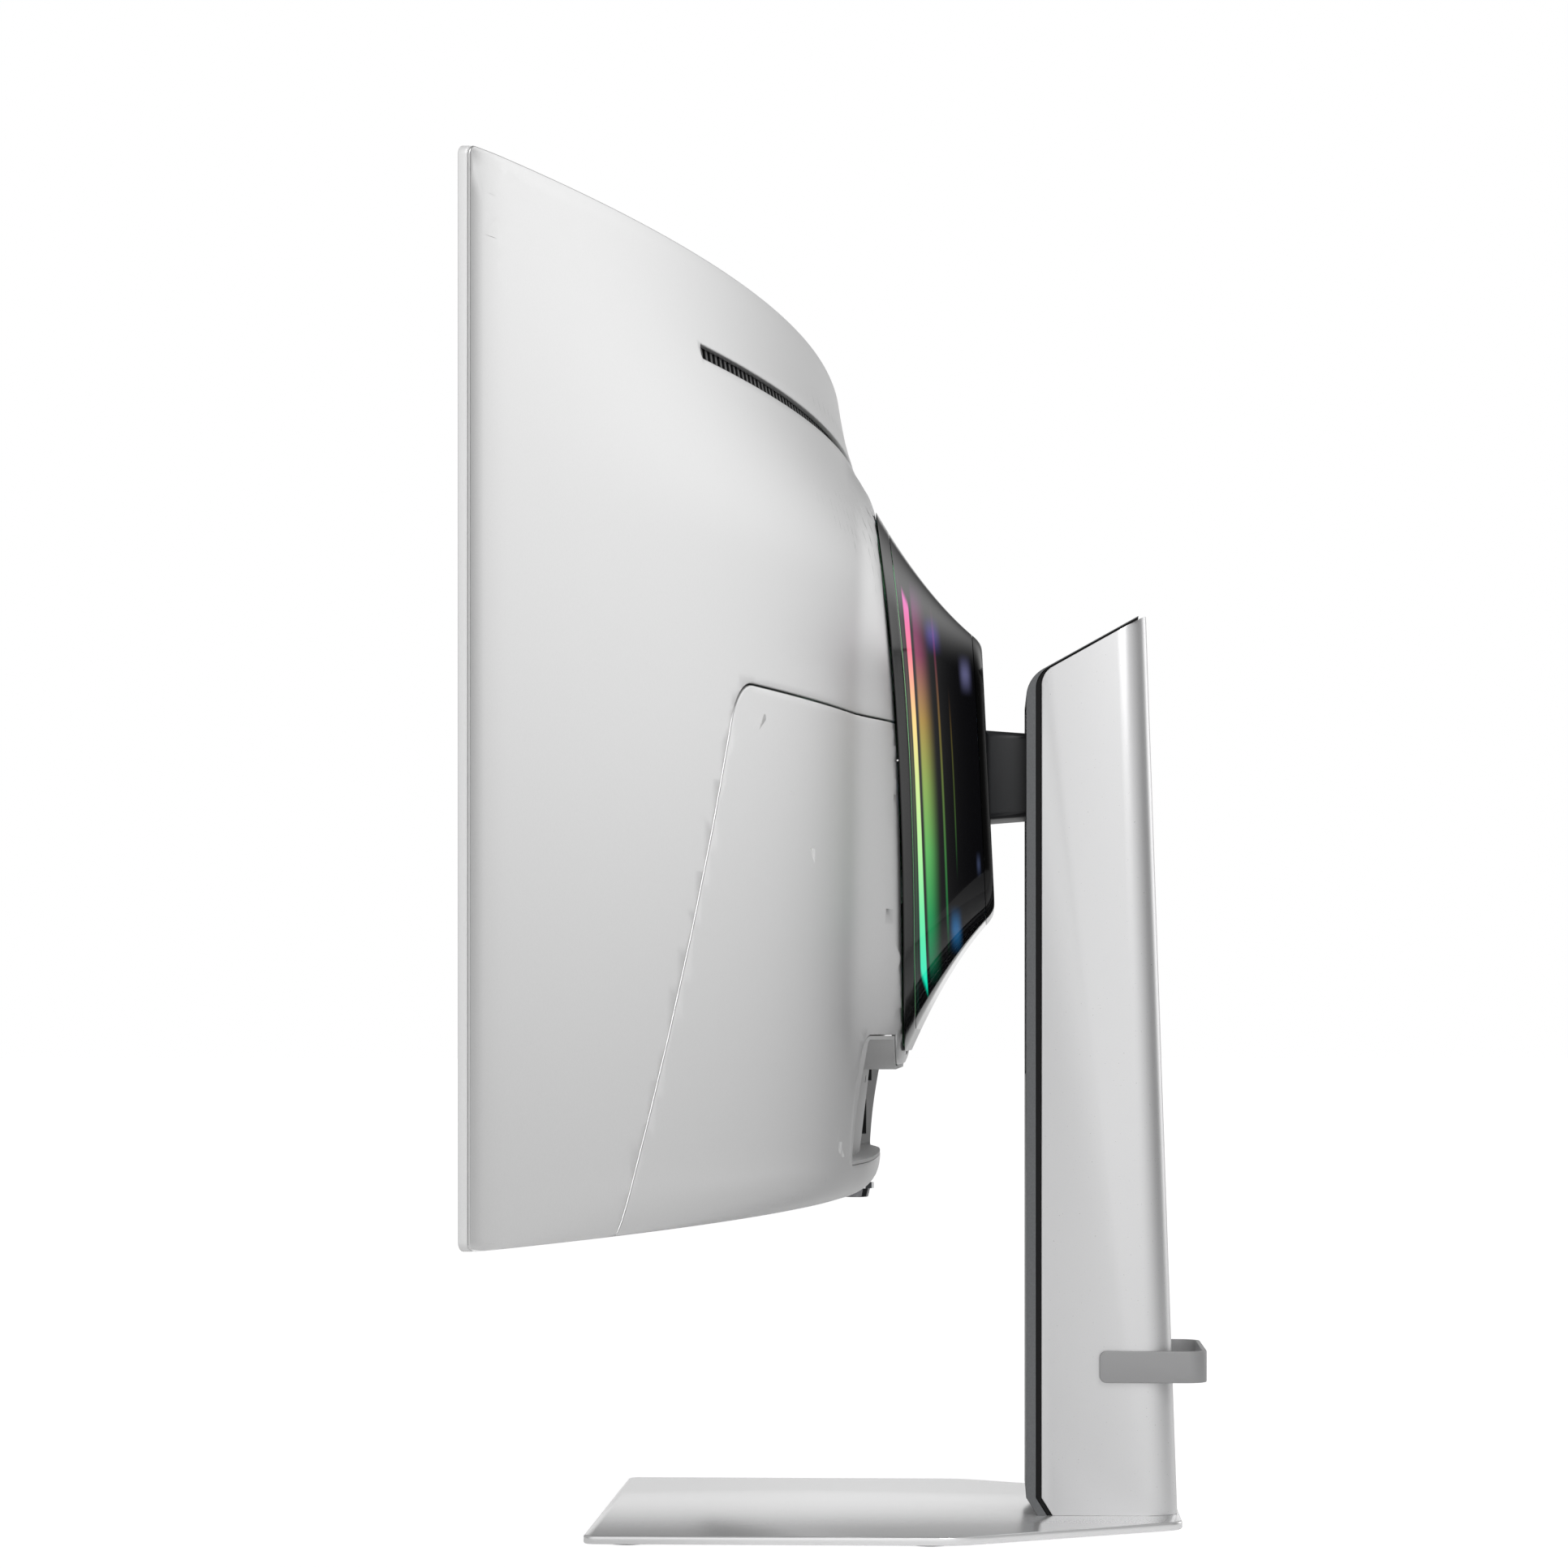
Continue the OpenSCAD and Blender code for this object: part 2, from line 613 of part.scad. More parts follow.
module jog_stem() color("#4a4c4f") placed() translate([0, jog_y, jog_pivot_z]) {
    cylinder(h = 2.4, r = 4.4, center = true);
    rotate([90, 0, 0]) cylinder(h = 2 * gimbal_r - 0.8, r = stem_pin_r, center = true);
    translate([0, 0, -4.5]) cylinder(h = 3.6, r = 2.2);
}

jog_button_r = 5.8;
module jog_button() color("#17181a") placed()
    translate([0, jog_y, head_z - 2.9]) cylinder(h = 5.2, r1 = jog_button_r, r2 = jog_button_r + 1.2);

// ---- Light unit ----

flank_ease = 0.38;              // how much the flank hollows between the foot and the back
function ease(f) = f * (1 + flank_ease * (1 - f));
unit_low = unit_z - unit_h / 2;
unit_high = unit_z + unit_h / 2;
back_z = hub_z - back_drop;
back_low = back_z - back_h / 2;
back_high = back_z + back_h / 2;
arc_steps = 6;
side_steps = 5;
function arc(cx, cz, r, a0) = [for (i = [0:arc_steps])
    let (a = a0 + 90 * i / arc_steps) [cx + r * cos(a), cz + r * sin(a)]];
// The unit's outline at a share f of the way from its foot to its back, moved in by inset
function outline(f, inset) =
    let (k = ease(f), w = mix(unit_w, back_w, k) / 2 - inset,
         lo = mix(unit_low, back_low, k) + inset, hi = mix(unit_high, back_high, k) - inset,
         r = max(4, mix(unit_r, back_r, k) - inset),
         right = [for (i = [1:side_steps]) [w, mix(lo + r, hi - r, i / (side_steps + 1))]],
         left = [for (p = right) [-p[0], lo + hi - p[1]]])
    concat(arc(w - r, lo + r, r, 270), right, arc(w - r, hi - r, r, 0),
        [[0, hi]], arc(r - w, hi - r, r, 90), left, arc(r - w, lo + r, r, 180), [[0, lo]]);
function unit_point(p, f, inset, sink) =
    let (k = ease(f), lo = mix(unit_low, back_low, k) + inset,
         hi = mix(unit_high, back_high, k) - inset, q = clamp((p[1] - lo) / (hi - lo)),
         near = rim_y(mix(unit_low, unit_high, q)),
         far = back_y - (q - 0.5) * back_h * tan(back_lean))
    [p[0], mix(near, far, f) - sink, p[1]];

// A wall that follows the unit's flank between two shares of the way, moved in by inset and
// forward by sink times as much
module flank(f0, f1, inset, wall, steps, sink) {
    n = len(outline(0, 0));
    shares = [for (i = [0:steps]) mix(f0, f1, i / steps)];
    outer = [for (f = shares) for (p = outline(f, inset)) unit_point(p, f, inset, inset * sink)];
    inner = [for (f = shares) for (p = outline(f, inset + wall))
        unit_point(p, f, inset + wall, (inset + wall) * sink)];
    off = len(outer);
    function quad(a, b, c, d) = [[a, b, c], [a, c, d]];
    sides = [for (i = [0:steps - 1]) for (j = [0:n - 1]) let (k = (j + 1) % n)
        each quad(i * n + j, i * n + k, (i + 1) * n + k, (i + 1) * n + j)];
    insides = [for (f = sides) [f[0] + off, f[2] + off, f[1] + off]];
    ends = [for (j = [0:n - 1]) let (k = (j + 1) % n, last = steps * n)
        each concat(quad(j, j + off, k + off, k),
            quad(last + j, last + k, last + k + off, last + j + off))];
    polyhedron(points = concat(outer, inner), faces = concat(sides, insides, ends), convexity = 6);
}

bezel_share = 0.12;
lens_end = 0.9;
ring_sink = 0.4;
module light_bezel() color("#0b0b0d") placed() flank(0, bezel_share, 0, 5, 2, 0);
module light_lens() color("#17151c") placed() flank(bezel_share + 0.003, lens_end, 0, glass_wall, 7, 0);
module light_ring() color("#7dff9a") placed() flank(0.17, 0.25, 2.6, 3, 1, ring_sink);
module inner_light_ring() color("#4a8cff") placed() flank(0.34, 0.4, 3, 2.5, 1, ring_sink);
module light_reflector() color("#c6c8cc") placed() flank(0.18, 0.62, 8, 1.5, 3, ring_sink);

module light_board() color("#26282b") placed() upright(113.4, 1.6) difference() {
    translate([0, hub_z]) rounded(216, 196, 24);
    translate([0, hub_z]) rounded(136, 132, 10);
}

fixing_spots = [for (x = [-1, 1], z = [-1, 1]) [x * fixing_pitch / 2, hub_z + z * fixing_pitch / 2]];
post_y0 = front_y(fixing_pitch / 2) + chassis_y + chassis_t + 0.1;
plate_y = 168;                  // depth of the hub plate's front
plate_t = 3;
module hub_posts() color("#8e9194") placed() for (s = fixing_spots) difference() {
    bar_y(s[0], s[1], 6, post_y0, plate_y);
    bar_y(s[0], s[1], fixing_r, plate_y - 12, plate_y + 1);
}

mouth_x = 61;                   // the arm's opening in the hub
mouth_low = 26;
mouth_high = 31;
module mouth() translate([-mouth_x / 2, hub_z - mouth_low]) square([mouth_x, mouth_low + mouth_high]);

bracket_screws = [for (x = [-1, 1], z = [-1, 1]) [x * 41, hub_z + z * 10]];
module plate_outline(grow) translate([0, hub_z]) rounded(120 + 2 * grow, 108 + 2 * grow, 8 + grow);
module hub_plate() color("#7f8285") placed() difference() {
    upright(plate_y + plate_t, plate_t) difference() {
        plate_outline(0);
        mouth();
    }
    for (s = fixing_spots) bar_y(s[0], s[1], fixing_r, plate_y - 1, plate_y + plate_t + 1);
    for (s = bracket_screws) bar_y(s[0], s[1], 2, plate_y - 1, plate_y + plate_t + 1);
}

module hub_screws() color("#3c3e41") placed() for (s = bracket_screws) {
    bar_y(s[0], s[1], 1.95, plate_y - 3, plate_y + plate_t);
    bar_y(s[0], s[1], 3.4, plate_y + plate_t, plate_y + plate_t + 1.2);
}

cap_t = 3;
module hub_cover() color("#0d0d10") placed() difference() {
    translate([0, back_y, back_z]) rotate([90 + back_lean, 0, 0]) linear_extrude(cap_t) difference() {
        rounded(back_w, back_h, back_r);
        translate([-mouth_x / 2, back_drop - mouth_low]) square([mouth_x, mouth_low + mouth_high]);
    }
    upright(plate_y + plate_t + 0.1, 12) plate_outline(0.3);
    for (s = fixing_spots) bar_y(s[0], s[1], 4.5, plate_y, back_y + 10);
    for (s = bracket_screws) bar_y(s[0], s[1], 4, plate_y, plate_y + plate_t + 1.6);
}

// ---- Tilt hinge ----

cheek_x = 31.5;
cheek_t = 4.5;
cheek_r = 7.8;
pin_head_x = cheek_x + cheek_t + 1.5;
module hinge_brackets() color("#6f7275") placed() difference() {
    for (side = [-1, 1]) {
        translate([side * (cheek_x + cheek_t / 2), 0, 0]) {
            bar_x(tilt_y, hub_z, cheek_r, cheek_t);
            box(-cheek_t / 2, cheek_t / 2, tilt_y, plate_y, hub_z - barrel_r, hub_z + barrel_r);
        }
        translate([side * (cheek_x + 7.5), 0, 0])
            box(-7.5, 7.5, plate_y - 3, plate_y, hub_z - 16, hub_z + 16);
    }
    bar_x(tilt_y, hub_z, pin_bore_r, 2 * neck_w);
    for (side = [-1, 1]) translate([side * pin_head_x, 0, 0]) bar_x(tilt_y, hub_z, cheek_r, 2.9);
    for (s = bracket_screws) bar_y(s[0], s[1], 2, plate_y - 4, plate_y + 1);
}

module hinge_pin() color("#b4b7ba") placed() {
    bar_x(tilt_y, hub_z, pin_bore_r - pin_fit, 2 * (cheek_x + cheek_t) + 4);
    for (side = [-1, 1]) translate([side * pin_head_x, 0, 0]) bar_x(tilt_y, hub_z, 7.5, 2.4);
}

module friction_washers() color("#9a7b3e") placed() difference() {
    for (side = [-1, 1]) translate([side * 30.7, 0, 0]) bar_x(tilt_y, hub_z, 7.5, 1.2);
    bar_x(tilt_y, hub_z, pin_bore_r, 2 * neck_w);
}

// ---- Arm and carriage ----

core_x = 16;
core_h = 26;
barrel_x = 29.8;
flange_y = 200;
flange_t = 4;
flange_screws = [for (x = [-1, 1], z = [-1, 1]) [x * 21, hub_z + z * 20]];
module arm_core() color("#5d6063") placed() difference() {
    union() {
        bar_x(tilt_y, hub_z, barrel_r, 2 * barrel_x);
        box(-core_x, core_x, tilt_y, flange_y, hub_z - core_h / 2, hub_z + core_h / 2);
        box(-27, 27, flange_y, flange_y + flange_t, hub_z - 27, hub_z + 27);
    }
    bar_x(tilt_y, hub_z, pin_bore_r, 2 * neck_w);
    for (s = flange_screws) bar_y(s[0], s[1], 2, flange_y - 1, flange_y + 10);
}

sleeve_y0 = tilt_y + barrel_r + 0.5;
sleeve_y1 = flange_y - 0.2;
sleeve_taper = 2;
module arm_cover() color("#2f3134") placed() difference() {
    across(2 * arm_x) polygon([
        [sleeve_y0, hub_z - arm_h / 2], [sleeve_y1, hub_z - arm_h / 2 + sleeve_taper],
        [sleeve_y1, hub_z + arm_h / 2 - sleeve_taper], [sleeve_y0, hub_z + arm_h / 2]]);
    box(-core_x - gap, core_x + gap, 0, 300, hub_z - core_h / 2 - gap, hub_z + core_h / 2 + gap);
}

carriage_y = flange_y + flange_t;
carriage_t = 5.5;
rail_x = 24;
rail_y = 217;
strip_y = 217.4;
module lift_carriage() color("#75787b") placed() difference() {
    union() {
        box(-31, 31, carriage_y, carriage_y + carriage_t, hub_z - 34, hub_z + 34);
        box(-14, 14, carriage_y + carriage_t, strip_y, hub_z - 28, hub_z - 18);
    }
    for (s = flange_screws) bar_y(s[0], s[1], 2, carriage_y - 1, carriage_y + carriage_t + 1);
}

module carriage_screws() color("#3c3e41") placed() for (s = flange_screws) {
    bar_y(s[0], s[1], 1.95, flange_y + 0.5, carriage_y + carriage_t - 0.2);
}

block_h = 18;
block_spots = [hub_z - 32, hub_z + 14];
module slider_blocks() color("#d8d8d2") placed() difference() {
    for (x = [-1, 1], z = block_spots)
        box(x * rail_x - 7, x * rail_x + 7, carriage_y + carriage_t, rail_y + 7, z, z + block_h);
    for (x = [-1, 1]) translate([x * rail_x, rail_y, 0]) cylinder(h = top_z, r = rail_r + 0.05);
}

// ---- Spring lift ----

drum_y = 227;
drum_z = head_z + 222;
drum_r = 9;
strip_t = 0.6;
module spring_strips() color("#aeb1b4") placed() for (x = [-1, 1])
    box(x * 8 - 4, x * 8 + 4, strip_y, strip_y + strip_t, hub_z - 26, drum_z);

module spring_drums() color("#84878a") placed() difference() {
    for (x = [-1, 1]) translate([x * 8, 0, 0]) {
        bar_x(drum_y, drum_z, drum_r, 8);
        translate([x * 4.7, 0, 0]) bar_x(drum_y, drum_z, drum_r + 1.6, 1.2);
    }
    bar_x(drum_y, drum_z, 2.55, 2 * neck_w);
}

frame_x = 36;
frame_back_y = 238;
module drum_axle() color("#c2c5c8") placed() bar_x(drum_y, drum_z, 2.5, 2 * frame_x - 4 - 0.1);

// ---- Neck ----

rail_z0 = head_z + 38;
rail_z1 = head_z + 237;
module guide_rails() color("#cdd0d3") placed() for (x = [-1, 1])
    translate([x * rail_x, rail_y, rail_z0]) cylinder(h = rail_z1 - rail_z0, r = rail_r);

bracket_t = 3.5;
module rail_brackets() color("#606366") placed() difference() {
    for (z = [rail_z0, rail_z1 - bracket_t])
        box(2 - frame_x + gap, frame_x - 2 - gap, rail_y - 6, frame_back_y - 3, z, z + bracket_t);
    for (x = [-1, 1]) translate([x * rail_x, rail_y, 0]) cylinder(h = top_z, r = rail_r);
}

foot_t = 6;
frame_top = head_z + 233;
module neck_frame() color("#6d7073") placed() difference() {
    box(-frame_x, frame_x, 203, frame_back_y, base_top + foot_t, frame_top);
    box(2 - frame_x, frame_x - 2, 200, frame_back_y - 3, 0, top_z);
    box(-15, 15, frame_back_y - 4, frame_back_y + 1, drum_z - 13, frame_top + 1);
    translate([0, 203, frame_top]) rotate([-40, 0, 0]) cube([200, 30, 60], center = true);
}

base_screw_spots = [[-18, 222], [18, 222], [0, 244]];
module neck_foot() color("#5f6265") placed() difference() {
    box(-frame_x, frame_x, 206, 252, base_top, base_top + foot_t);
    for (s = base_screw_spots) translate([s[0], s[1], 0]) cylinder(h = 20, r = 2.5);
}

slope_dir = [cos(top_slope), sin(top_slope)];
top_end_y = 243;
foot_run = 5;
foot_rise = 8;
// A line up the neck's front and back along its sloping top, with a round corner
function front_line(y, lift, end_lift, r) =
    let (start = neck_top_z + (y - neck_y) * tan(top_slope) + lift,
         end = neck_top_z + (top_end_y - neck_y) * tan(top_slope) + end_lift,
         slope = atan2(end - start, top_end_y - y), t = r * tan((90 - slope) / 2))
    concat([[y + foot_run, base_top], [y, base_top + foot_rise]],
        [for (i = [0:8]) let (a = 180 - (90 - slope) * i / 8) [y + r + r * cos(a), start - t + r * sin(a)]],
        [[top_end_y, end]]);
function reversed(v) = [for (i = [len(v) - 1:-1:0]) v[i]];

// The room inside the neck's outer skin; inset leaves a wall
module neck_body(inset) intersection() {
    translate([0, neck_back_y - inset, base_top]) rotate([neck_lean, 0, 0])
        linear_extrude(900, center = true) translate([0, -60]) {
            r = neck_r - inset;
            square([neck_w - 2 * inset, 2 * (60 - r)], center = true);
            square([neck_w - 2 * inset - 2 * r, 120], center = true);
            for (x = [-1, 1]) translate([x * (neck_w / 2 - neck_r), 60 - r]) circle(r);
        }
    across(2 * neck_w) polygon(concat(front_line(neck_y, 0, 0, 10),
        [[270, neck_top_z + (270 - neck_y) * tan(top_slope)], [270, base_top]]));
}

module neck_cover() color("#dcdcdd") placed() difference() {
    neck_body(0);
    translate([0, neck_back_y - neck_wall, base_top]) rotate([neck_lean, 0, 0])
        linear_extrude(900, center = true) translate([0, -60]) {
            r = neck_r - neck_wall;
            square([neck_w - 2 * neck_wall, 2 * (60 - r)], center = true);
            square([neck_w - 2 * neck_wall - 2 * r, 120], center = true);
            for (x = [-1, 1]) translate([x * (neck_w / 2 - neck_r), 60 - r]) circle(r);
        }
}

trim_y = 192.5;
gasket_y = 196.9;
arm_slot_x = 56;
arm_slot_z0 = hub_z - 136;
arm_slot_z1 = hub_z + 34;
module arm_slot() box(-arm_slot_x / 2, arm_slot_x / 2, 0, 230, arm_slot_z0, arm_slot_z1);

module neck_gasket() color("#0f1011") placed() difference() {
    across(neck_w - 2.4) polygon(concat(front_line(gasket_y, 0.7, 0.7, 11),
        reversed(front_line(neck_y, 0.1, 0.1, 10))));
    arm_slot();
}

module neck_front_trim() color("#86888b") placed() difference() {
    across(neck_w - 0.8) polygon(concat(front_line(trim_y, 1.4, 1.3, 15),
        reversed(front_line(gasket_y, 0.8, 0.8, 11))));
    arm_slot();
}

// ---- Base and clip ----

// Corner points joined with round corners of their own radii
function rounded_path(pts, radii) = [for (i = [0:len(pts) - 1])
    let (n = len(pts), p = pts[i], a = pts[(i + n - 1) % n] - p, b = pts[(i + 1) % n] - p,
         ua = a / norm(a), ub = b / norm(b), half = acos(ua * ub) / 2, r = radii[i],
         mid = (ua + ub) / norm(ua + ub), c = p + mid * r / sin(half),
         t = r / tan(half), a0 = atan2(p[1] + ua[1] * t - c[1], p[0] + ua[0] * t - c[0]),
         turn = 180 - 2 * half, side = (a[0] * b[1] - a[1] * b[0]) > 0 ? -1 : 1, steps = 6)
    each [for (k = [0:steps]) let (a1 = a0 + side * turn * k / steps) c + r * [cos(a1), sin(a1)]]];

base_pts = [[-base_x, 0], [base_x, 0], [base_x, base_turn_y], [base_rear_x, base_rear_y],
    [-base_rear_x, base_rear_y], [-base_x, base_turn_y]];
base_radii = [5, 5, 30, 12, 12, 30];
module base_plate() color("#d2d3d4") placed() difference() {
    translate([0, 0, pad_t]) linear_extrude(base_t) polygon(rounded_path(base_pts, base_radii));
    for (s = base_screw_spots) translate([s[0], s[1], 0]) {
        cylinder(h = 20, r = 2.6);
        cylinder(h = pad_t + 2.2, r = 5);
    }
}

pad_spots = [[-112, 18], [112, 18], [-112, 150], [112, 150], [-46, 246], [46, 246]];
module base_pads() color("#2b2c2e") placed() for (s = pad_spots)
    translate([s[0], s[1], 0]) cylinder(h = pad_t, r = 9);

module base_screws() color("#8a8d90") placed() for (s = base_screw_spots) translate([s[0], s[1], pad_t]) {
    cylinder(h = 2.1, r = 4.7);
    translate([0, 0, 2.1]) cylinder(h = base_t + foot_t - 2.6, r = 2.45);
}

clip_r = 10;
clip_gap = 0.4;                 // room between the clip's legs and the neck's sides
module clip_plan(inset) {
    w = neck_w + 2 * clip_gap + 2 * clip_t - 2 * inset;
    back = clip_back_y - inset;
    r = clip_r - inset;
    translate([-w / 2, 100]) square([w, back - r - 100]);
    translate([r - w / 2, 100]) square([w - 2 * r, back - 100]);
    for (x = [-1, 1]) translate([x * (w / 2 - r), back - r]) circle(r);
}

module cable_clip() color("#97999b") placed() intersection() {
    translate([0, 0, clip_z]) linear_extrude(clip_h) difference() {
        clip_plan(0);
        clip_plan(clip_t);
    }
    across(2 * neck_w) {
        r = 3.2;
        translate([clip_y + r, clip_z]) square([100, clip_h]);
        translate([clip_y, clip_z + r]) square([100, clip_h - 2 * r]);
        for (z = [clip_z + r, clip_z + clip_h - r]) translate([clip_y + r, z]) circle(r);
    }
}

screen_panel();
bezel_frame();
panel_backplate();
chassis_plate();
rear_cover();
lower_rear_cover();
cover_screws();
vent_grille();
port_bay();
main_board();
displayport_socket();
hdmi_sockets();
usb_sockets();
audio_socket();
dc_inlet();
panel_driver_board();
speaker_left();
speaker_right();
jog_bezel();
jog_board();
jog_gimbal();
jog_stem();
jog_button();
light_bezel();
light_lens();
light_ring();
inner_light_ring();
light_reflector();
light_board();
hub_posts();
hub_plate();
hub_screws();
hub_cover();
hinge_brackets();
hinge_pin();
friction_washers();
arm_core();
arm_cover();
lift_carriage();
slider_blocks();
carriage_screws();
spring_strips();
spring_drums();
drum_axle();
guide_rails();
rail_brackets();
neck_frame();
neck_foot();
neck_cover();
neck_gasket();
neck_front_trim();
base_plate();
base_pads();
base_screws();
cable_clip();
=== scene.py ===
# %% [markdown]
# # A wide curved monitor with a glowing light unit behind its hub
# The measured model gives every part its size and place. This script dresses it: each outer
# part gets a finer mesh with rounded edges, every part gets its real finish, and a plain pale
# room lights it. All sizes below are in millimetres and are counted as the maker counts them:
# x along the screen, depth back from the screen's two ends, z up from the desk.

# %% Load the measured model
import json
from math import acos, asin, atan2, cos, degrees, hypot, pi, radians, sin, sqrt, tan

import bmesh
import bpy
from mathutils import Matrix, Vector


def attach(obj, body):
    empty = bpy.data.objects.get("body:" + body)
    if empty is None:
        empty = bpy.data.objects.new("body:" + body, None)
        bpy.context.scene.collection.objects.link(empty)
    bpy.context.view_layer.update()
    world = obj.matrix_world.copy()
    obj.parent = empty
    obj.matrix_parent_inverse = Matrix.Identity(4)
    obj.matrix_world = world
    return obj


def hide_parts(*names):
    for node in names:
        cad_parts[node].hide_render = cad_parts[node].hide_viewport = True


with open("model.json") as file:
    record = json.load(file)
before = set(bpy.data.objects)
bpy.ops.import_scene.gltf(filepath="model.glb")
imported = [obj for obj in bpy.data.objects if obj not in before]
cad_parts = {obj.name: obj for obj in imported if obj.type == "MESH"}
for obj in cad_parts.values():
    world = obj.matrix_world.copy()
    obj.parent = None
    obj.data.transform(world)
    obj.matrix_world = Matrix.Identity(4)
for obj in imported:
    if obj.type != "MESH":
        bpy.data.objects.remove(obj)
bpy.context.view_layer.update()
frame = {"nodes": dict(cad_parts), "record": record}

# %% [markdown]
# ## The camera
# The monitor is seen from its side with a long lens, so the camera stands two metres away at
# about the height of the screen's lower third. Turning it a little is kinder to other views
# than shifting the picture sideways, so only the height is done by shift.

# %% Camera
scene = bpy.context.scene
scene.view_settings.view_transform = "Standard"
camera_data = bpy.data.cameras.new("camera")
camera = bpy.data.objects.new("camera", camera_data)
scene.collection.objects.link(camera)
scene.camera = camera
camera_data.sensor_width = 36
camera_data.lens = 103.8
camera_data.shift_y = 0.16
camera_data.clip_end = 100
camera.location = (2.0799, 0.0357, 0.2216)
aim = Vector((-cos(radians(2.51)), -sin(radians(2.51)), 0))
camera.rotation_euler = aim.to_track_quat("-Z", "Y").to_euler()
print("camera turned by", round(degrees(atan2(aim.y, aim.x)), 1), "degrees")

# %% [markdown]
# ## Helpers for meshes
# Every piece is built in millimetres and turned into an object in metres only once, in one
# place. Faces are shaded smooth, and an edge stays sharp where its two faces meet at more
# than a set angle, so that flat sides look flat and rounded edges look round.

# %% Turn a finished mesh into a piece
SCREEN_ENDS_Y = -137.0          # where the screen's ends stand in the shared frame


def piece(name, bm, body, finish, replaces=(), sharp=32):
    bmesh.ops.translate(bm, vec=(0, SCREEN_ENDS_Y, 0), verts=bm.verts)
    bmesh.ops.scale(bm, vec=(0.001, 0.001, 0.001), verts=bm.verts)
    bmesh.ops.recalc_face_normals(bm, faces=bm.faces)
    for face in bm.faces:
        face.smooth = True
    for edge in bm.edges:
        edge.smooth = len(edge.link_faces) == 2 and edge.calc_face_angle(0) < radians(sharp)
    mesh = bpy.data.meshes.new(name)
    bm.to_mesh(mesh)
    bm.free()
    obj = bpy.data.objects.new(name, mesh)
    scene.collection.objects.link(obj)
    mesh.materials.append(finish)
    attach(obj, body)
    if replaces:
        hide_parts(*replaces)
    print(name, "has", len(mesh.polygons), "faces")
    return obj


def cut(obj, bm):
    """Takes the closed shape in bm, in millimetres, out of a piece."""
    bmesh.ops.translate(bm, vec=(0, SCREEN_ENDS_Y, 0), verts=bm.verts)
    bmesh.ops.scale(bm, vec=(0.001, 0.001, 0.001), verts=bm.verts)
    bmesh.ops.recalc_face_normals(bm, faces=bm.faces)
    mesh = bpy.data.meshes.new("cutter")
    bm.to_mesh(mesh)
    bm.free()
    tool = bpy.data.objects.new("cutter", mesh)
    scene.collection.objects.link(tool)
    modifier = obj.modifiers.new("cut", "BOOLEAN")
    modifier.operation = "DIFFERENCE"
    modifier.solver = "EXACT"
    modifier.object = tool
    bpy.context.view_layer.update()
    graph = bpy.context.evaluated_depsgraph_get()
    result = bpy.data.meshes.new_from_object(obj.evaluated_get(graph))
    obj.modifiers.remove(modifier)
    old = obj.data
    obj.data = result
    result.name = old.name
    bpy.data.objects.remove(tool)
    bpy.data.meshes.remove(mesh)
    print(obj.name, "after the cut:", len(result.polygons), "faces")


# %% Outlines with rounded corners
def rounded(corners, steps=8):
    """Points along a closed outline; each corner is (a, b, radius)."""
    points = []
    count = len(corners)
    for i, (px, pz, r) in enumerate(corners):
        if r == 0:
            points.append((px, pz))
            continue
        here = Vector((px, pz))
        back = (Vector(corners[i - 1][:2]) - here).normalized()
        ahead = (Vector(corners[(i + 1) % count][:2]) - here).normalized()
        half = acos(max(-1, min(1, back.dot(ahead)))) / 2
        centre = here + (back + ahead).normalized() * (r / sin(half))
        start = here + back * (r / tan(half)) - centre
        end = here + ahead * (r / tan(half)) - centre
        turn = atan2(start.x * end.y - start.y * end.x, start.dot(end))
        a0 = atan2(start.y, start.x)
        for k in range(steps + 1):
            a = a0 + turn * k / steps
            points.append((centre.x + r * cos(a), centre.y + r * sin(a)))
    return points


def frame_corners(x, low, high, r):
    return [(-x, low, r), (x, low, r), (x, high, r), (-x, high, r)]


# %% A flat plate with rounded lips
LIP_STEPS = [(0.134, 0.5), (0.366, 0.366), (0.5, 0.134)]


def round_lip(bm, faces, r):
    """Rounds every rim of a flat region by insetting it in three steps."""
    for inward, up in LIP_STEPS:
        bmesh.ops.inset_region(bm, faces=faces, thickness=inward * r, depth=up * r,
                               use_boundary=True, use_even_offset=True)


def flat_plate(outline, holes, thickness, lip, inner_lip=0.0):
    """A plate in x and z whose outer side lies at y = 0, with its wall towards -y."""
    bm = bmesh.new()
    edges = []
    for loop in [outline] + holes:
        verts = [bm.verts.new((x, -thickness + inner_lip, z)) for x, z in loop]
        edges += [bm.edges.new((a, b)) for a, b in zip(verts, verts[1:] + verts[:1])]
    filled = bmesh.ops.triangle_fill(bm, use_beauty=True, edges=edges, normal=(0, -1, 0))
    inner = [g for g in filled["geom"] if isinstance(g, bmesh.types.BMFace)]
    for face in inner:
        if face.normal.y > 0:
            face.normal_flip()
    grown = bmesh.ops.extrude_face_region(bm, geom=inner, use_keep_orig=True)["geom"]
    outer = [g for g in grown if isinstance(g, bmesh.types.BMFace)]
    moved = [g for g in grown if isinstance(g, bmesh.types.BMVert)]
    bmesh.ops.translate(bm, vec=(0, thickness - inner_lip - lip, 0), verts=moved)
    bmesh.ops.recalc_face_normals(bm, faces=bm.faces)
    round_lip(bm, outer, lip)
    if inner_lip:
        round_lip(bm, inner, inner_lip)
    return bm


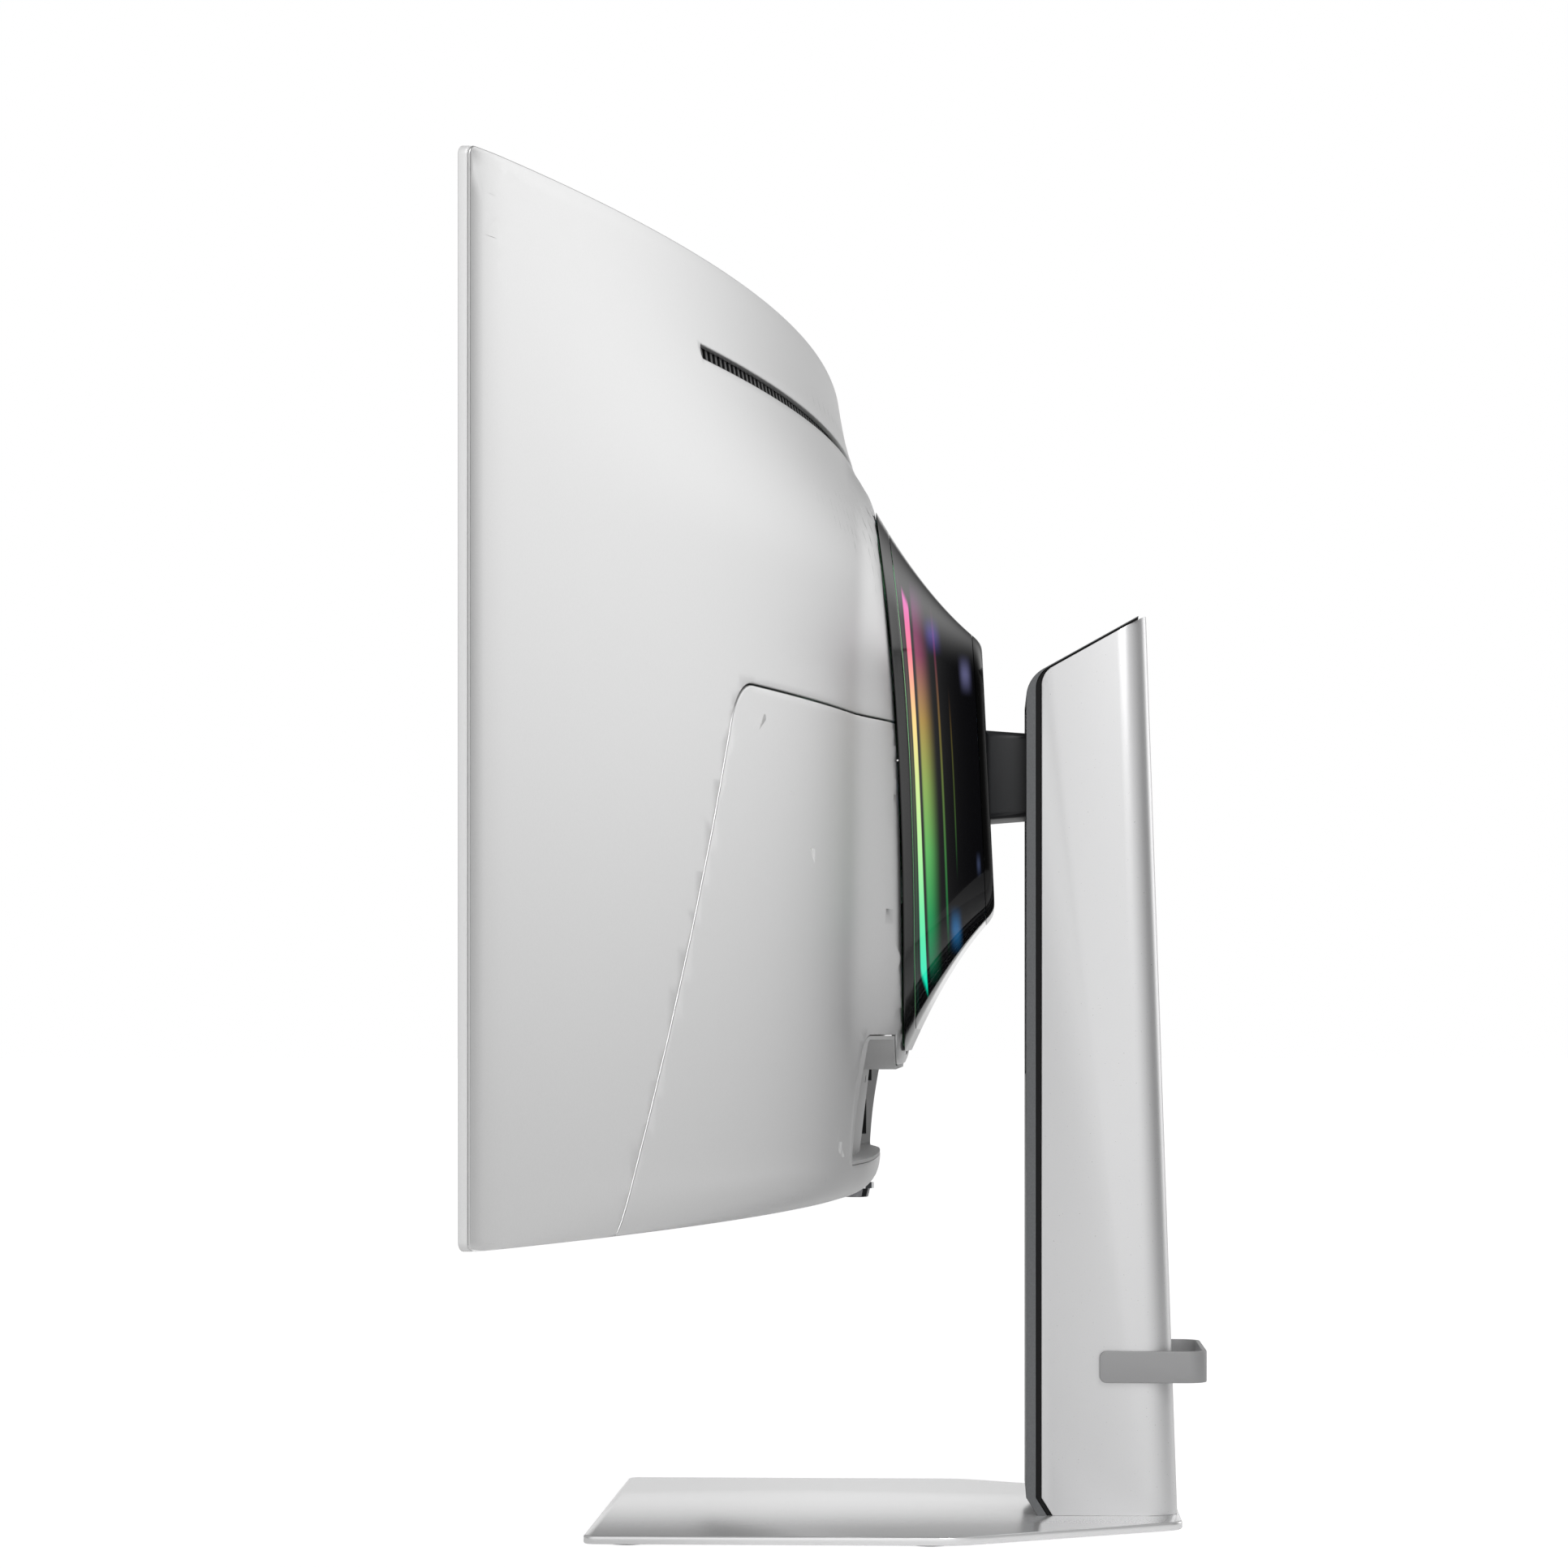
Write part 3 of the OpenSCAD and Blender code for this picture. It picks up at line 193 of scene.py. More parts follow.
def slice_plate(bm, xs, zs):
    """Cuts a plate along even lines, so that it can follow a curve smoothly."""
    for axis, stations in ((0, xs), (2, zs)):
        normal = Vector((0, 0, 0))
        normal[axis] = 1
        for s in stations:
            bmesh.ops.bisect_plane(bm, geom=bm.verts[:] + bm.edges[:] + bm.faces[:],
                                   plane_co=normal * s, plane_no=normal, dist=1e-5)
    spare = []
    for edge in bm.edges:
        if len(edge.link_faces) != 2:
            continue
        if all(abs(face.normal.y) > 0.999 for face in edge.link_faces):
            way = (edge.verts[1].co - edge.verts[0].co).normalized()
            if abs(way.x) < 0.9999 and abs(way.z) < 0.9999:
                spare.append(edge)
    bmesh.ops.dissolve_edges(bm, edges=spare, use_verts=False, use_face_split=False)


def even(low, high, step):
    count = max(1, round((high - low) / step))
    return [low + (high - low) * i / count for i in range(1, count)]


def bend(bm, place):
    """Moves each point of a flat plate to its place on the real surface."""
    for vert in bm.verts:
        vert.co = place(*vert.co)


# %% Boxes, bars and side profiles
def block(bm, low, high, edge=0.0, segments=3):
    made = bmesh.ops.create_cube(bm, size=1)["verts"]
    size = Vector(high) - Vector(low)
    bmesh.ops.scale(bm, vec=size, verts=made)
    bmesh.ops.translate(bm, vec=(Vector(high) + Vector(low)) / 2, verts=made)
    if edge:
        edges = list({e for v in made for e in v.link_edges})
        bmesh.ops.bevel(bm, geom=edges, offset=edge, segments=segments, profile=0.5,
                        affect="EDGES", material=-1)


def bar(bm, centre, radius, length, axis, radius_2=None, sides=48):
    turn = {"x": Matrix.Rotation(pi / 2, 4, "Y"), "y": Matrix.Rotation(-pi / 2, 4, "X"),
            "z": Matrix.Identity(4)}[axis]
    return bmesh.ops.create_cone(bm, cap_ends=True, segments=sides, radius1=radius,
                                 radius2=radius if radius_2 is None else radius_2, depth=length,
                                 matrix=Matrix.Translation(centre) @ turn)["verts"]


def side_profile(points, width, edge, segments=3):
    """A side outline in depth and z, pushed across the middle plane, with rounded edges."""
    bm = bmesh.new()
    face = bm.faces.new([bm.verts.new((-width / 2, y, z)) for y, z in points])
    grown = bmesh.ops.extrude_face_region(bm, geom=[face], use_keep_orig=True)["geom"]
    verts = [g for g in grown if isinstance(g, bmesh.types.BMVert)]
    bmesh.ops.translate(bm, vec=(width, 0, 0), verts=verts)
    bmesh.ops.recalc_face_normals(bm, faces=bm.faces)
    if edge:
        rim = [e for e in bm.edges if abs(e.verts[0].co.x - e.verts[1].co.x) < 0.01]
        bmesh.ops.bevel(bm, geom=rim, offset=edge, segments=segments, profile=0.5,
                        affect="EDGES", material=-1)
    return bm


# %% [markdown]
# ## Helpers for finishes
# A finish is one Principled material. Two effects come back on many parts, so they are node
# groups: a fine grain that lightens and darkens the colour a little and roughens the surface,
# and a brushed grain that is stretched along one way for machined steel.

# %% A small language for nodes
class Nodes:
    def __init__(self, tree):
        self.tree = tree
        tree.nodes.clear()

    def add(self, kind, inputs=None, **settings):
        node = self.tree.nodes.new(kind)
        for key, value in settings.items():
            setattr(node, key, value)
        for key, value in (inputs or {}).items():
            self.set(node.inputs[key], value)
        return node

    def set(self, socket, value):
        if isinstance(value, bpy.types.NodeSocket):
            self.tree.links.new(value, socket)
        elif isinstance(value, bpy.types.Node):
            self.tree.links.new(value.outputs[0], socket)
        else:
            socket.default_value = value

    def math(self, operation, a, b=0.0, c=0.0, clamp=False):
        return self.add("ShaderNodeMath", {0: a, 1: b, 2: c}, operation=operation,
                        use_clamp=clamp)

    def soft_step(self, value, low, high, to_low=0.0, to_high=1.0):
        return self.add("ShaderNodeMapRange", {"Value": value, "From Min": low, "From Max": high,
                        "To Min": to_low, "To Max": to_high}, interpolation_type="SMOOTHSTEP")

    def ramp(self, value, stops):
        node = self.add("ShaderNodeValToRGB", {"Fac": value})
        elements = node.color_ramp.elements
        while len(elements) > 1:
            elements.remove(elements[-1])
        elements[0].position, elements[0].color = stops[0][0], (*stops[0][1], 1)
        for position, colour in stops[1:]:
            elements.new(position).color = (*colour, 1)
        return node


# %% Two shared effects
def grain_group(name, stretch):
    group = bpy.data.node_groups.new(name, "ShaderNodeTree")
    for label, kind in (("Colour", "NodeSocketColor"), ("Scale", "NodeSocketFloat"),
                        ("Contrast", "NodeSocketFloat"), ("Roughness", "NodeSocketFloat")):
        group.interface.new_socket(label, in_out="INPUT", socket_type=kind)
    for label, kind in (("Colour", "NodeSocketColor"), ("Roughness", "NodeSocketFloat"),
                        ("Height", "NodeSocketFloat")):
        group.interface.new_socket(label, in_out="OUTPUT", socket_type=kind)
    n = Nodes(group)
    given = n.add("NodeGroupInput").outputs
    spot = n.add("ShaderNodeTexCoord").outputs["Object"]
    place = n.add("ShaderNodeMapping", {"Vector": spot, "Scale": stretch})
    noise = n.add("ShaderNodeTexNoise", {"Vector": place.outputs[0], "Scale": given["Scale"],
                  "Detail": 3.0, "Roughness": 0.6})
    swing = n.math("SUBTRACT", noise.outputs[0], 0.5)
    value = n.math("MULTIPLY_ADD", swing, given["Contrast"], 1.0)
    colour = n.add("ShaderNodeVectorMath", {0: given["Colour"], "Scale": value},
                   operation="SCALE")
    rough = n.math("MULTIPLY_ADD", swing, 0.12, given["Roughness"])
    out = n.add("NodeGroupOutput")
    n.set(out.inputs["Colour"], colour)
    n.set(out.inputs["Roughness"], rough)
    n.set(out.inputs["Height"], noise.outputs[0])
    return group


fine_grain = grain_group("fine_grain", (1, 1, 1))
brushed_grain = grain_group("brushed_grain", (0.05, 1, 1))


def finish(name, colour, rough, metal=0.0, effect=None, size=900, contrast=0.06, bump=0.0,
           coat=0.0, ior=1.5):
    """A painted, moulded or metal finish, with the grain of one of the shared effects."""
    material = bpy.data.materials.new(name)
    material.use_nodes = True
    n = Nodes(material.node_tree)
    skin = n.add("ShaderNodeBsdfPrincipled", {"Metallic": metal, "IOR": ior,
                 "Coat Weight": coat, "Coat Roughness": 0.05})
    if effect:
        grain = n.add("ShaderNodeGroup", node_tree=effect)
        n.set(grain.inputs["Colour"], (*colour, 1))
        n.set(grain.inputs["Scale"], size)
        n.set(grain.inputs["Contrast"], contrast)
        n.set(grain.inputs["Roughness"], rough)
        n.set(skin.inputs["Base Color"], grain.outputs["Colour"])
        n.set(skin.inputs["Roughness"], grain.outputs["Roughness"])
        if bump:
            relief = n.add("ShaderNodeBump", {"Strength": bump, "Distance": 0.0002,
                           "Height": grain.outputs["Height"]})
            n.set(skin.inputs["Normal"], relief)
    else:
        n.set(skin.inputs["Base Color"], (*colour, 1))
        n.set(skin.inputs["Roughness"], rough)
    n.add("ShaderNodeOutputMaterial", {"Surface": skin})
    return material


# %% The plain finishes
cover_silver = finish("cover_silver", (0.67, 0.67, 0.67), 0.37, 0.9, fine_grain, 1100, 0.10, 0.05)
frame_silver = finish("frame_silver", (0.93, 0.93, 0.93), 0.40, 0.2, fine_grain, 1100, 0.05)
bay_silver = finish("bay_silver", (0.58, 0.58, 0.58), 0.48, 0.2, fine_grain, 1100, 0.08)
neck_silver = finish("neck_silver", (0.76, 0.76, 0.765), 0.30, 0.6, fine_grain, 1300, 0.04)
base_silver = finish("base_silver", (0.90, 0.90, 0.905), 0.20, 0.6, fine_grain, 1300, 0.05)
trim_grey = finish("trim_grey", (0.15, 0.155, 0.16), 0.40, 0.5, fine_grain, 1500, 0.5, 0.1)
gasket_black = finish("gasket_black", (0.004, 0.004, 0.0045), 0.5, ior=1.3)
clip_grey = finish("clip_grey", (0.39, 0.39, 0.395), 0.38, 0.1, fine_grain, 1200, 0.04)
arm_charcoal = finish("arm_charcoal", (0.024, 0.025, 0.028), 0.42, 0.0, fine_grain, 1400, 0.2, 0.1)
unit_black = finish("unit_black", (0.002, 0.002, 0.002), 0.12, ior=1.22)
screen_black = finish("screen_black", (0.006, 0.006, 0.007), 0.16, coat=0.3)
vent_black = finish("vent_black", (0.010, 0.010, 0.011), 0.5)
vent_shade = finish("vent_shade", (0.002, 0.002, 0.002), 0.8)
chrome = finish("chrome", (0.78, 0.79, 0.80), 0.08, 1.0)
dark_chrome = finish("dark_chrome", (0.20, 0.20, 0.21), 0.12, 1.0)
socket_black = finish("socket_black", (0.012, 0.012, 0.013), 0.35)
sheet_steel = finish("sheet_steel", (0.56, 0.57, 0.58), 0.35, 0.9, brushed_grain, 700, 0.2)
sheet_aluminium = finish("sheet_aluminium", (0.62, 0.63, 0.64), 0.4, 0.9, brushed_grain, 700, 0.15)
screw_steel = finish("screw_steel", (0.10, 0.10, 0.11), 0.35, 0.9, fine_grain, 800, 0.2)
board_green = finish("board_green", (0.02, 0.12, 0.06), 0.35, 0.0, fine_grain, 300, 0.5)
speaker_black = finish("speaker_black", (0.02, 0.02, 0.021), 0.6, 0.0, fine_grain, 900, 0.3)
reflector_mirror = finish("reflector_mirror", (0.8, 0.8, 0.81), 0.05, 1.0)
pin_steel = finish("pin_steel", (0.66, 0.67, 0.68), 0.2, 1.0, brushed_grain, 900, 0.1)
washer_bronze = finish("washer_bronze", (0.50, 0.37, 0.18), 0.35, 1.0, brushed_grain, 900, 0.2)
arm_metal = finish("arm_metal", (0.16, 0.165, 0.17), 0.45, 0.7, fine_grain, 900, 0.2)
slider_white = finish("slider_white", (0.74, 0.74, 0.70), 0.4, 0.0, fine_grain, 700, 0.05)
spring_steel = finish("spring_steel", (0.55, 0.56, 0.60), 0.25, 1.0, brushed_grain, 900, 0.15)
pad_rubber = finish("pad_rubber", (0.03, 0.03, 0.031), 0.8, 0.0, fine_grain, 900, 0.3)

# %% [markdown]
# ## The head's curved surface
# The screen is bent about an upright axis, 1.8 metres in front of it. The cover behind it is
# thin at the edges, swells towards the middle, rolls under at the chin, and rises again into
# a collar around the light unit. One function gives its depth at any point.

# %% Sizes of the head
HALF_W = 597.35
LOW, TOP = 150.0, 515.0
CURVE_R = 1800.0
EDGE_T = 5.1
FRAME_T = 3.2
WALL = 2.2
SPLIT = 3.25                    # depth at which the cover starts behind the frame
CHIN_Z = 170.0
UNIT_W, UNIT_LOW, UNIT_HIGH, UNIT_R = 264.0, 214.0, 451.7, 43.0
UNIT_H, UNIT_Z = UNIT_HIGH - UNIT_LOW, (UNIT_HIGH + UNIT_LOW) / 2
HUB_Z = 339.6
SEAM_Z, SEAM_X, SEAM_FOOT_X, SEAM_BOW = 356.0, 361.5, 479.7, 6.4
SEAM_R, SEAM_GAP = 28.0, 0.8
SCREEN_AXIS = -sqrt(CURVE_R ** 2 - HALF_W ** 2)
RISE_H, BULGE = 107.0, 28.0     # height over which the cover swells below its top, and how far
FALL_FROM, FALL_H = 170.0, 195.0
END_RUN, END_THIN = 14.0, 0.95
TOP_RUN, TOP_THIN, TOP_POWER = 10.7, 1.2, 4.6
RIM_LOW_Y, RIM_DROP, RIM_POWER, RIM_STEP = 138.8, 12.8, 2.83, 0.8
COLLAR_W, COLLAR_TOP_W, COLLAR_POWER, COLLAR_TOP_POWER = 60, 21, 2, 1.35


def clamp(v):
    return max(0.0, min(1.0, v))


def mix(a, b, k):
    return a + (b - a) * k


def front_depth(x):
    return SCREEN_AXIS + sqrt(CURVE_R ** 2 - x * x)


def spread(x):
    return cos(pi / 2 * min(1, abs(x) / HALF_W)) ** 2


def swell(x, below):
    if below < RISE_H:
        return spread(x) * sin(pi / 2 * below / RISE_H) ** 2
    fall = 0.3 + 0.18 * spread(x) ** 8
    return spread(x) * (1 - fall * max(0, (below - FALL_FROM) / FALL_H) ** 2)


def edge_depth(x, below):
    """The cover's edge: thinner at the very ends, and in the middle of the top."""
    ends = clamp(1 - (HALF_W - abs(x)) / END_RUN)
    return EDGE_T - END_THIN * ends - TOP_THIN * spread(x) ** TOP_POWER * clamp(1 - below / TOP_RUN)


def outside_unit(x, z):
    ax = abs(x) - UNIT_W / 2 + UNIT_R
    az = abs(z - UNIT_Z) - UNIT_H / 2 + UNIT_R
    return (hypot(ax, az) if ax > 0 and az > 0 else max(ax, az)) - UNIT_R


def rim_depth(z):
    return RIM_LOW_Y - RIM_DROP * clamp((z - UNIT_LOW) / UNIT_H) ** RIM_POWER


def cover_depth(x, z):
    plain = front_depth(x) + edge_depth(x, TOP - z) + BULGE * swell(x, TOP - z)
    up = clamp((z - UNIT_Z) / (UNIT_H / 2)) ** 2
    near = clamp(1 - max(0, outside_unit(x, z)) / mix(COLLAR_W, COLLAR_TOP_W, up))
    under = rim_depth(z) - RIM_STEP
    if outside_unit(x, z) < 0:
        return under
    return plain + max(0, under - plain) * near ** mix(COLLAR_POWER, COLLAR_TOP_POWER, up)


print("cover depth at the middle of the top, the seam and the chin:",
      [round(cover_depth(0, z), 1) for z in (515, 480, 356, 170)])

# %% [markdown]
# ## The two rear covers
# On the real monitor the covers are moulded shells with a fine satin skin, split by a seam
# that runs level behind the light unit and then slants out to the bottom. They could be drawn
# as curved surfaces straight away, but holes and rounded lips are far easier on a flat plate.
# So each cover starts as a flat plate with all its openings and lips, is sliced along even
# lines, and is then bent onto the curved surface, chin and all.

# %% Bend a flat plate onto the cover
CHIN_RUN = 36.0                 # length of plate that rolls around the chin
FOOT_RUN = 1.65                 # and that runs forward under the head
PLATE_LOW = CHIN_Z - CHIN_RUN - FOOT_RUN
CORNER_R = 3.5


def chin_turn(w):
    t = clamp((CHIN_Z - w) / CHIN_RUN)
    return pi / 2 * t ** 1.5 / (t ** 1.5 + (1 - t) ** 1.5)


def real_height(w):
    return w if w >= CHIN_Z else CHIN_Z - (CHIN_Z - LOW) * sin(chin_turn(w)) ** (2 / 3)


def cover_point(x, w):
    if w >= CHIN_Z:
        return Vector((x, cover_depth(x, w), w))
    front = front_depth(x) + edge_depth(x, TOP - LOW)
    back = max(front, cover_depth(x, CHIN_Z))
    forward = max(0, CHIN_Z - CHIN_RUN - w)
    return Vector((x, front + (back - front) * cos(chin_turn(w)) ** (2 / 3) - forward,
                   real_height(w)))


def cover_place(x, y, w):
    here = cover_point(x, w)
    step = 0.5
    along = cover_point(x + step, w) - cover_point(x - step, w)
    up = cover_point(x, w + step) - cover_point(x, w - step)
    normal = up.cross(along)
    normal = normal.normalized() if normal.length > 1e-6 else Vector((0, 1, 0))
    if normal.y < 0:
        normal = -normal
    spot = here + normal * y
    cx = min(abs(spot.x), HALF_W)
    spot.z = max(LOW, min(TOP, spot.z))
    if cx > HALF_W - CORNER_R and spot.z < LOW + CORNER_R:
        corner = Vector((cx - HALF_W + CORNER_R, spot.z - LOW - CORNER_R))
        if corner.length > CORNER_R:
            corner *= CORNER_R / corner.length
            cx, spot.z = HALF_W - CORNER_R + corner.x, LOW + CORNER_R + corner.y
    spot.x = cx if spot.x > 0 else -cx
    spot.y = max(spot.y, front_depth(spot.x) + SPLIT)
    return spot


# %% The outlines of the covers
def seam_side(gap):
    """The seam's steep run on the right, from below its corner down to the plate's foot."""
    lines = [336, 300, 260, 220, 190] + [CHIN_Z - 3 * i for i in range(12)] + [PLATE_LOW]
    points = []
    for w in lines:
        t = (SEAM_Z - real_height(w)) / (SEAM_Z - LOW)
        points.append((mix(SEAM_X, SEAM_FOOT_X, t) - 4 * SEAM_BOW * t * (1 - t) + gap, w, 0))
    return points


def mirrored(points):
    return [(-x, z, r) for x, z, r in reversed(points)]


LAP = 3.0                       # how far the covers reach in under the light unit's rim
HOLE_X = UNIT_W / 2 - LAP
HOLE_LOW, HOLE_HIGH, HOLE_R = UNIT_LOW + LAP, UNIT_HIGH - LAP, UNIT_R - LAP
over = SEAM_Z + SEAM_GAP
right = [(HALF_W, TOP, CORNER_R), (HALF_W, PLATE_LOW, 0)] + seam_side(SEAM_GAP)[::-1] + [
    (SEAM_X + SEAM_GAP, over, SEAM_R + SEAM_GAP), (HOLE_X, over, 1.2), (HOLE_X, HOLE_HIGH, HOLE_R)]
upper_outline = rounded(right + mirrored(right))
right = [(HOLE_X, HOLE_LOW, HOLE_R), (HOLE_X, SEAM_Z, 1.2), (SEAM_X, SEAM_Z, SEAM_R)] + seam_side(0)
lower_outline = rounded(right + mirrored(right))
VENT_X, VENT_LOW, VENT_HIGH = 386.0, 475.9, 481.0
vent_outline = rounded([(-VENT_X, VENT_LOW, 2.5), (VENT_X, VENT_LOW, 2.5), (VENT_X, VENT_HIGH, 1.2),
                        (-VENT_X, VENT_HIGH, 1.2)])

BAY_X, BAY_LOW, BAY_HIGH, BAY_R = 160.0, 165.0, 221.5, 8.0
COLLAR_H = 5.7
COLLAR_X, COLLAR_LOW, COLLAR_R = UNIT_W / 2 + COLLAR_H, UNIT_LOW - COLLAR_H, UNIT_R + COLLAR_H


def bay_outline(inset, end_x=BAY_X):
    """The port bay's mouth: a long box with the light unit's collar reaching into it."""
    cx, cz, r = COLLAR_X - COLLAR_R, COLLAR_LOW + COLLAR_R, COLLAR_R + inset
    high = BAY_HIGH - inset
    a_top = asin((cz - high) / r)
    arc = [(cx + r * cos(a_top + (pi / 2 - a_top) * k / 10),
            cz - r * sin(a_top + (pi / 2 - a_top) * k / 10), 0) for k in range(11)]
    arc[0] = (*arc[0][:2], 1.0)
    left = [(-x, z, q) for x, z, q in reversed(arc)]
    x, r = min(end_x, BAY_X - inset), BAY_R - inset if end_x == BAY_X else 2.0
    return rounded([(x, high, r)] + arc + left + [(-x, high, r), (-x, BAY_LOW + inset, r),
                    (x, BAY_LOW + inset, r)])


# %% Make the covers
lip = 0.5
x_lines = even(-HALF_W, HALF_W, 9)
z_lines = even(CHIN_Z, TOP, 7)
chin_lines = even(PLATE_LOW + FOOT_RUN, CHIN_Z, 2.4) + [PLATE_LOW + FOOT_RUN, CHIN_Z]

bm = flat_plate(upper_outline, [vent_outline], WALL, lip)
slice_plate(bm, x_lines, z_lines + chin_lines)
bend(bm, cover_place)
piece("rear_shell", bm, "head", cover_silver, ["rear_cover"])

bm = flat_plate(lower_outline, [bay_outline(0)], WALL, lip)
slice_plate(bm, x_lines, z_lines + chin_lines)
bend(bm, cover_place)
lower_shell = piece("lower_shell", bm, "head", cover_silver, ["lower_rear_cover"])
# A hole for the jog knob, and a pocket above it in which its gimbal ring can tip
JOG_Y = 114.5
for radius, middle_z, length in ((8.7, LOW, 16), (7.5, LOW + 9, 8)):
    tool = bmesh.new()
    bar(tool, (0, JOG_Y, middle_z), radius, length, "z", sides=64)
    cut(lower_shell, tool)

# %% [markdown]
# ## The frame, the screen and the vent
# The frame is a thin ring that follows the curve in front of the cover; the hairline between
# the two is what shows at the screen's end. The vent is a black strip of upright ribs, set a
# little below the cover's skin.

# %% Frame and screen
RAIL_W = 6.8


def curve_place(x, y, z):
    return Vector((x, front_depth(x) - y, z))


bm = flat_plate(rounded(frame_corners(HALF_W, LOW, TOP, CORNER_R)),
                [rounded(frame_corners(HALF_W - RAIL_W, LOW + RAIL_W, TOP - RAIL_W, 1.0))],
                FRAME_T, 0.5, 0.5)
slice_plate(bm, x_lines, [])
bend(bm, curve_place)
piece("display_frame", bm, "head", frame_silver, ["bezel_frame"])

GLASS_IN = RAIL_W + 0.1
bm = flat_plate(rounded(frame_corners(HALF_W - GLASS_IN, LOW + GLASS_IN, TOP - GLASS_IN, 1.0)),
                [], 1.4, 0.15)
slice_plate(bm, x_lines, [])
bend(bm, lambda x, y, z: Vector((x, front_depth(x) + 0.5 - y, z)))
piece("screen_glass", bm, "head", screen_black, ["screen_panel"])

# %% Vent ribs
# The near-black sheet just behind the ribs is painted shade: it stands for the dark inside of the head
# behind the vent.
bm = flat_plate(rounded(frame_corners(VENT_X + 3, VENT_LOW - 1, VENT_HIGH + 1, 3)), [], 0.8, 0.1)
bmesh.ops.translate(bm, vec=(0, -4.4, 0), verts=bm.verts)
slice_plate(bm, x_lines, [])
bend(bm, cover_place)
piece("vent_back", bm, "head", vent_shade)
bm = bmesh.new()
VENT_PITCH = 6.5
count = int((VENT_X - 6) / VENT_PITCH)
for i in range(-count, count + 1):
    x = i * VENT_PITCH
    block(bm, (x - 1.5, -4.8, VENT_LOW - 0.4), (x + 1.5, -2.5, VENT_HIGH + 0.4), 0.25, 1)
bend(bm, cover_place)
piece("vent_ribs", bm, "head", vent_black, ["vent_grille"])

# %% [markdown]
# ## The light unit
# The hub's black housing is a hollow pyramid of glossy glass. A black rim holds it on the
# cover, a black cap closes its back, and coloured light is painted as glow onto the flanks
# between them. Each part is one ring of points, drawn out step by step from the rim to the back.

# %% One ring of the housing
BACK_W, BACK_H, BACK_R, BACK_Z = 140.0, 120.5, 22.0, HUB_Z - 2.4
BACK_Y, BACK_LEAN = 175.4, radians(2.7)


def ease(f):
    return f * (1 + 0.38 * (1 - f))


ARC_STEPS, SIDE_STEPS = 14, 10


def ring(f, inset=0.0):
    """Points around the housing at a share f of the way from its rim to its back."""
    k = ease(f)
    w = mix(UNIT_W, BACK_W, k) / 2 - inset
    low = mix(UNIT_LOW, BACK_Z - BACK_H / 2, k) + inset
    high = mix(UNIT_HIGH, BACK_Z + BACK_H / 2, k) - inset
    r = max(4, mix(UNIT_R, BACK_R, k) - inset)
    flat = []
    for cx, cz, a0, ex, ez in ((w - r, low + r, -90, w, high - r), (w - r, high - r, 0, r - w, high),
                               (r - w, high - r, 90, -w, low + r), (r - w, low + r, 180, w - r, low)):
        for i in range(ARC_STEPS + 1):
            a = radians(a0 + 90 * i / ARC_STEPS)
            flat.append((cx + r * cos(a), cz + r * sin(a)))
        sx, sz = flat[-1]
        flat += [(mix(sx, ex, i / SIDE_STEPS), mix(sz, ez, i / SIDE_STEPS))
                 for i in range(1, SIDE_STEPS)]
    points = []
    for x, z in flat:
        q = clamp((z - low) / (high - low))
        near = rim_depth(mix(UNIT_LOW, UNIT_HIGH, q))
        far = BACK_Y - (q - 0.5) * BACK_H * tan(BACK_LEAN)
        points.append(Vector((x, mix(near, far, f), z)))
    return points


def draw_out(rings, closed_wall=True):
    """Joins rings of points into one wall; the last ring meets the first if it is closed."""
    bm = bmesh.new()
    loops = []
    for points in rings:
        verts = [bm.verts.new(p) for p in points]
        loops.append([bm.edges.new((a, b)) for a, b in zip(verts, verts[1:] + verts[:1])])
    pairs = list(zip(loops, loops[1:]))
    if closed_wall:
        pairs.append((loops[-1], loops[0]))
    for a, b in pairs:
        bmesh.ops.bridge_loops(bm, edges=a + b)
    return bm


# %% Rim and glass
def flank_rings(f0, f1, wall, steps, edge):
    """The outer face from f0 to f1 with softened ends, and back along the inner face."""
    shares = [f0 + (f1 - f0) * i / steps for i in range(steps + 1)]
    soft = edge / 60.0
    outer = [ring(f0, edge)] + [ring(f0 + soft * 0.35, edge * 0.3)] + [ring(f0 + soft)]
    outer += [ring(f) for f in shares[1:-1]]
    outer += [ring(f1 - soft), ring(f1 - soft * 0.35, edge * 0.3), ring(f1, edge)]
    inner = [ring(f1, wall), ring(mix(f0, f1, 0.5), wall), ring(f0, wall)]
    return outer + inner


bm = draw_out(flank_rings(0.0, 0.12, 5, 6, 0.5))
piece("light_rim", bm, "head", unit_black, ["light_bezel"])

# %% [markdown]
# The glass looks black wherever no light is painted on it. Its glow is painted light, set as
# emission on the glass itself: strips of painted light run up each flank and change colour
# with height: teal at the bottom, then green, yellow, rose and magenta at the top. A bright
# strip comes first, standing for the light behind the glass shining through. Then come its
# wide dim echo and two thin ones, which are painted reflections of that strip. Height comes
# from the object's own coordinates, and the share of the way from rim to cap comes from a UV
# map, so the strips follow the flank whatever its curve.

# %% The glass with its painted glow
GLOW_LOW, GLOW_HIGH = 0.244, 0.416     # heights between which the colours change
BRIGHT = {"teal": (0.0, 0.8, 0.5), "mint": (0.15, 0.85, 0.4), "pale_green": (0.45, 0.9, 0.35),
          "lime": (0.65, 0.85, 0.3), "straw": (1.0, 0.7, 0.25), "rose": (1.0, 0.2, 0.3),
          "magenta": (0.7, 0.1, 0.5)}
DEEP = {"sea": (0.0, 0.1, 0.06), "green": (0.0, 0.3, 0.08), "leaf": (0.1, 0.45, 0.1),
        "olive": (0.25, 0.4, 0.08), "amber": (0.4, 0.25, 0.05), "wine": (0.25, 0.03, 0.1),
        "plum": (0.1, 0.02, 0.1)}


def by_height(n, z, colours):
    """Colours at even steps of height above the desk."""
    t = n.math("DIVIDE", n.math("SUBTRACT", z, GLOW_LOW), GLOW_HIGH - GLOW_LOW, clamp=True)
    steps = len(colours) - 1
    return n.ramp(t, [(i / steps, colour) for i, colour in enumerate(colours.values())])


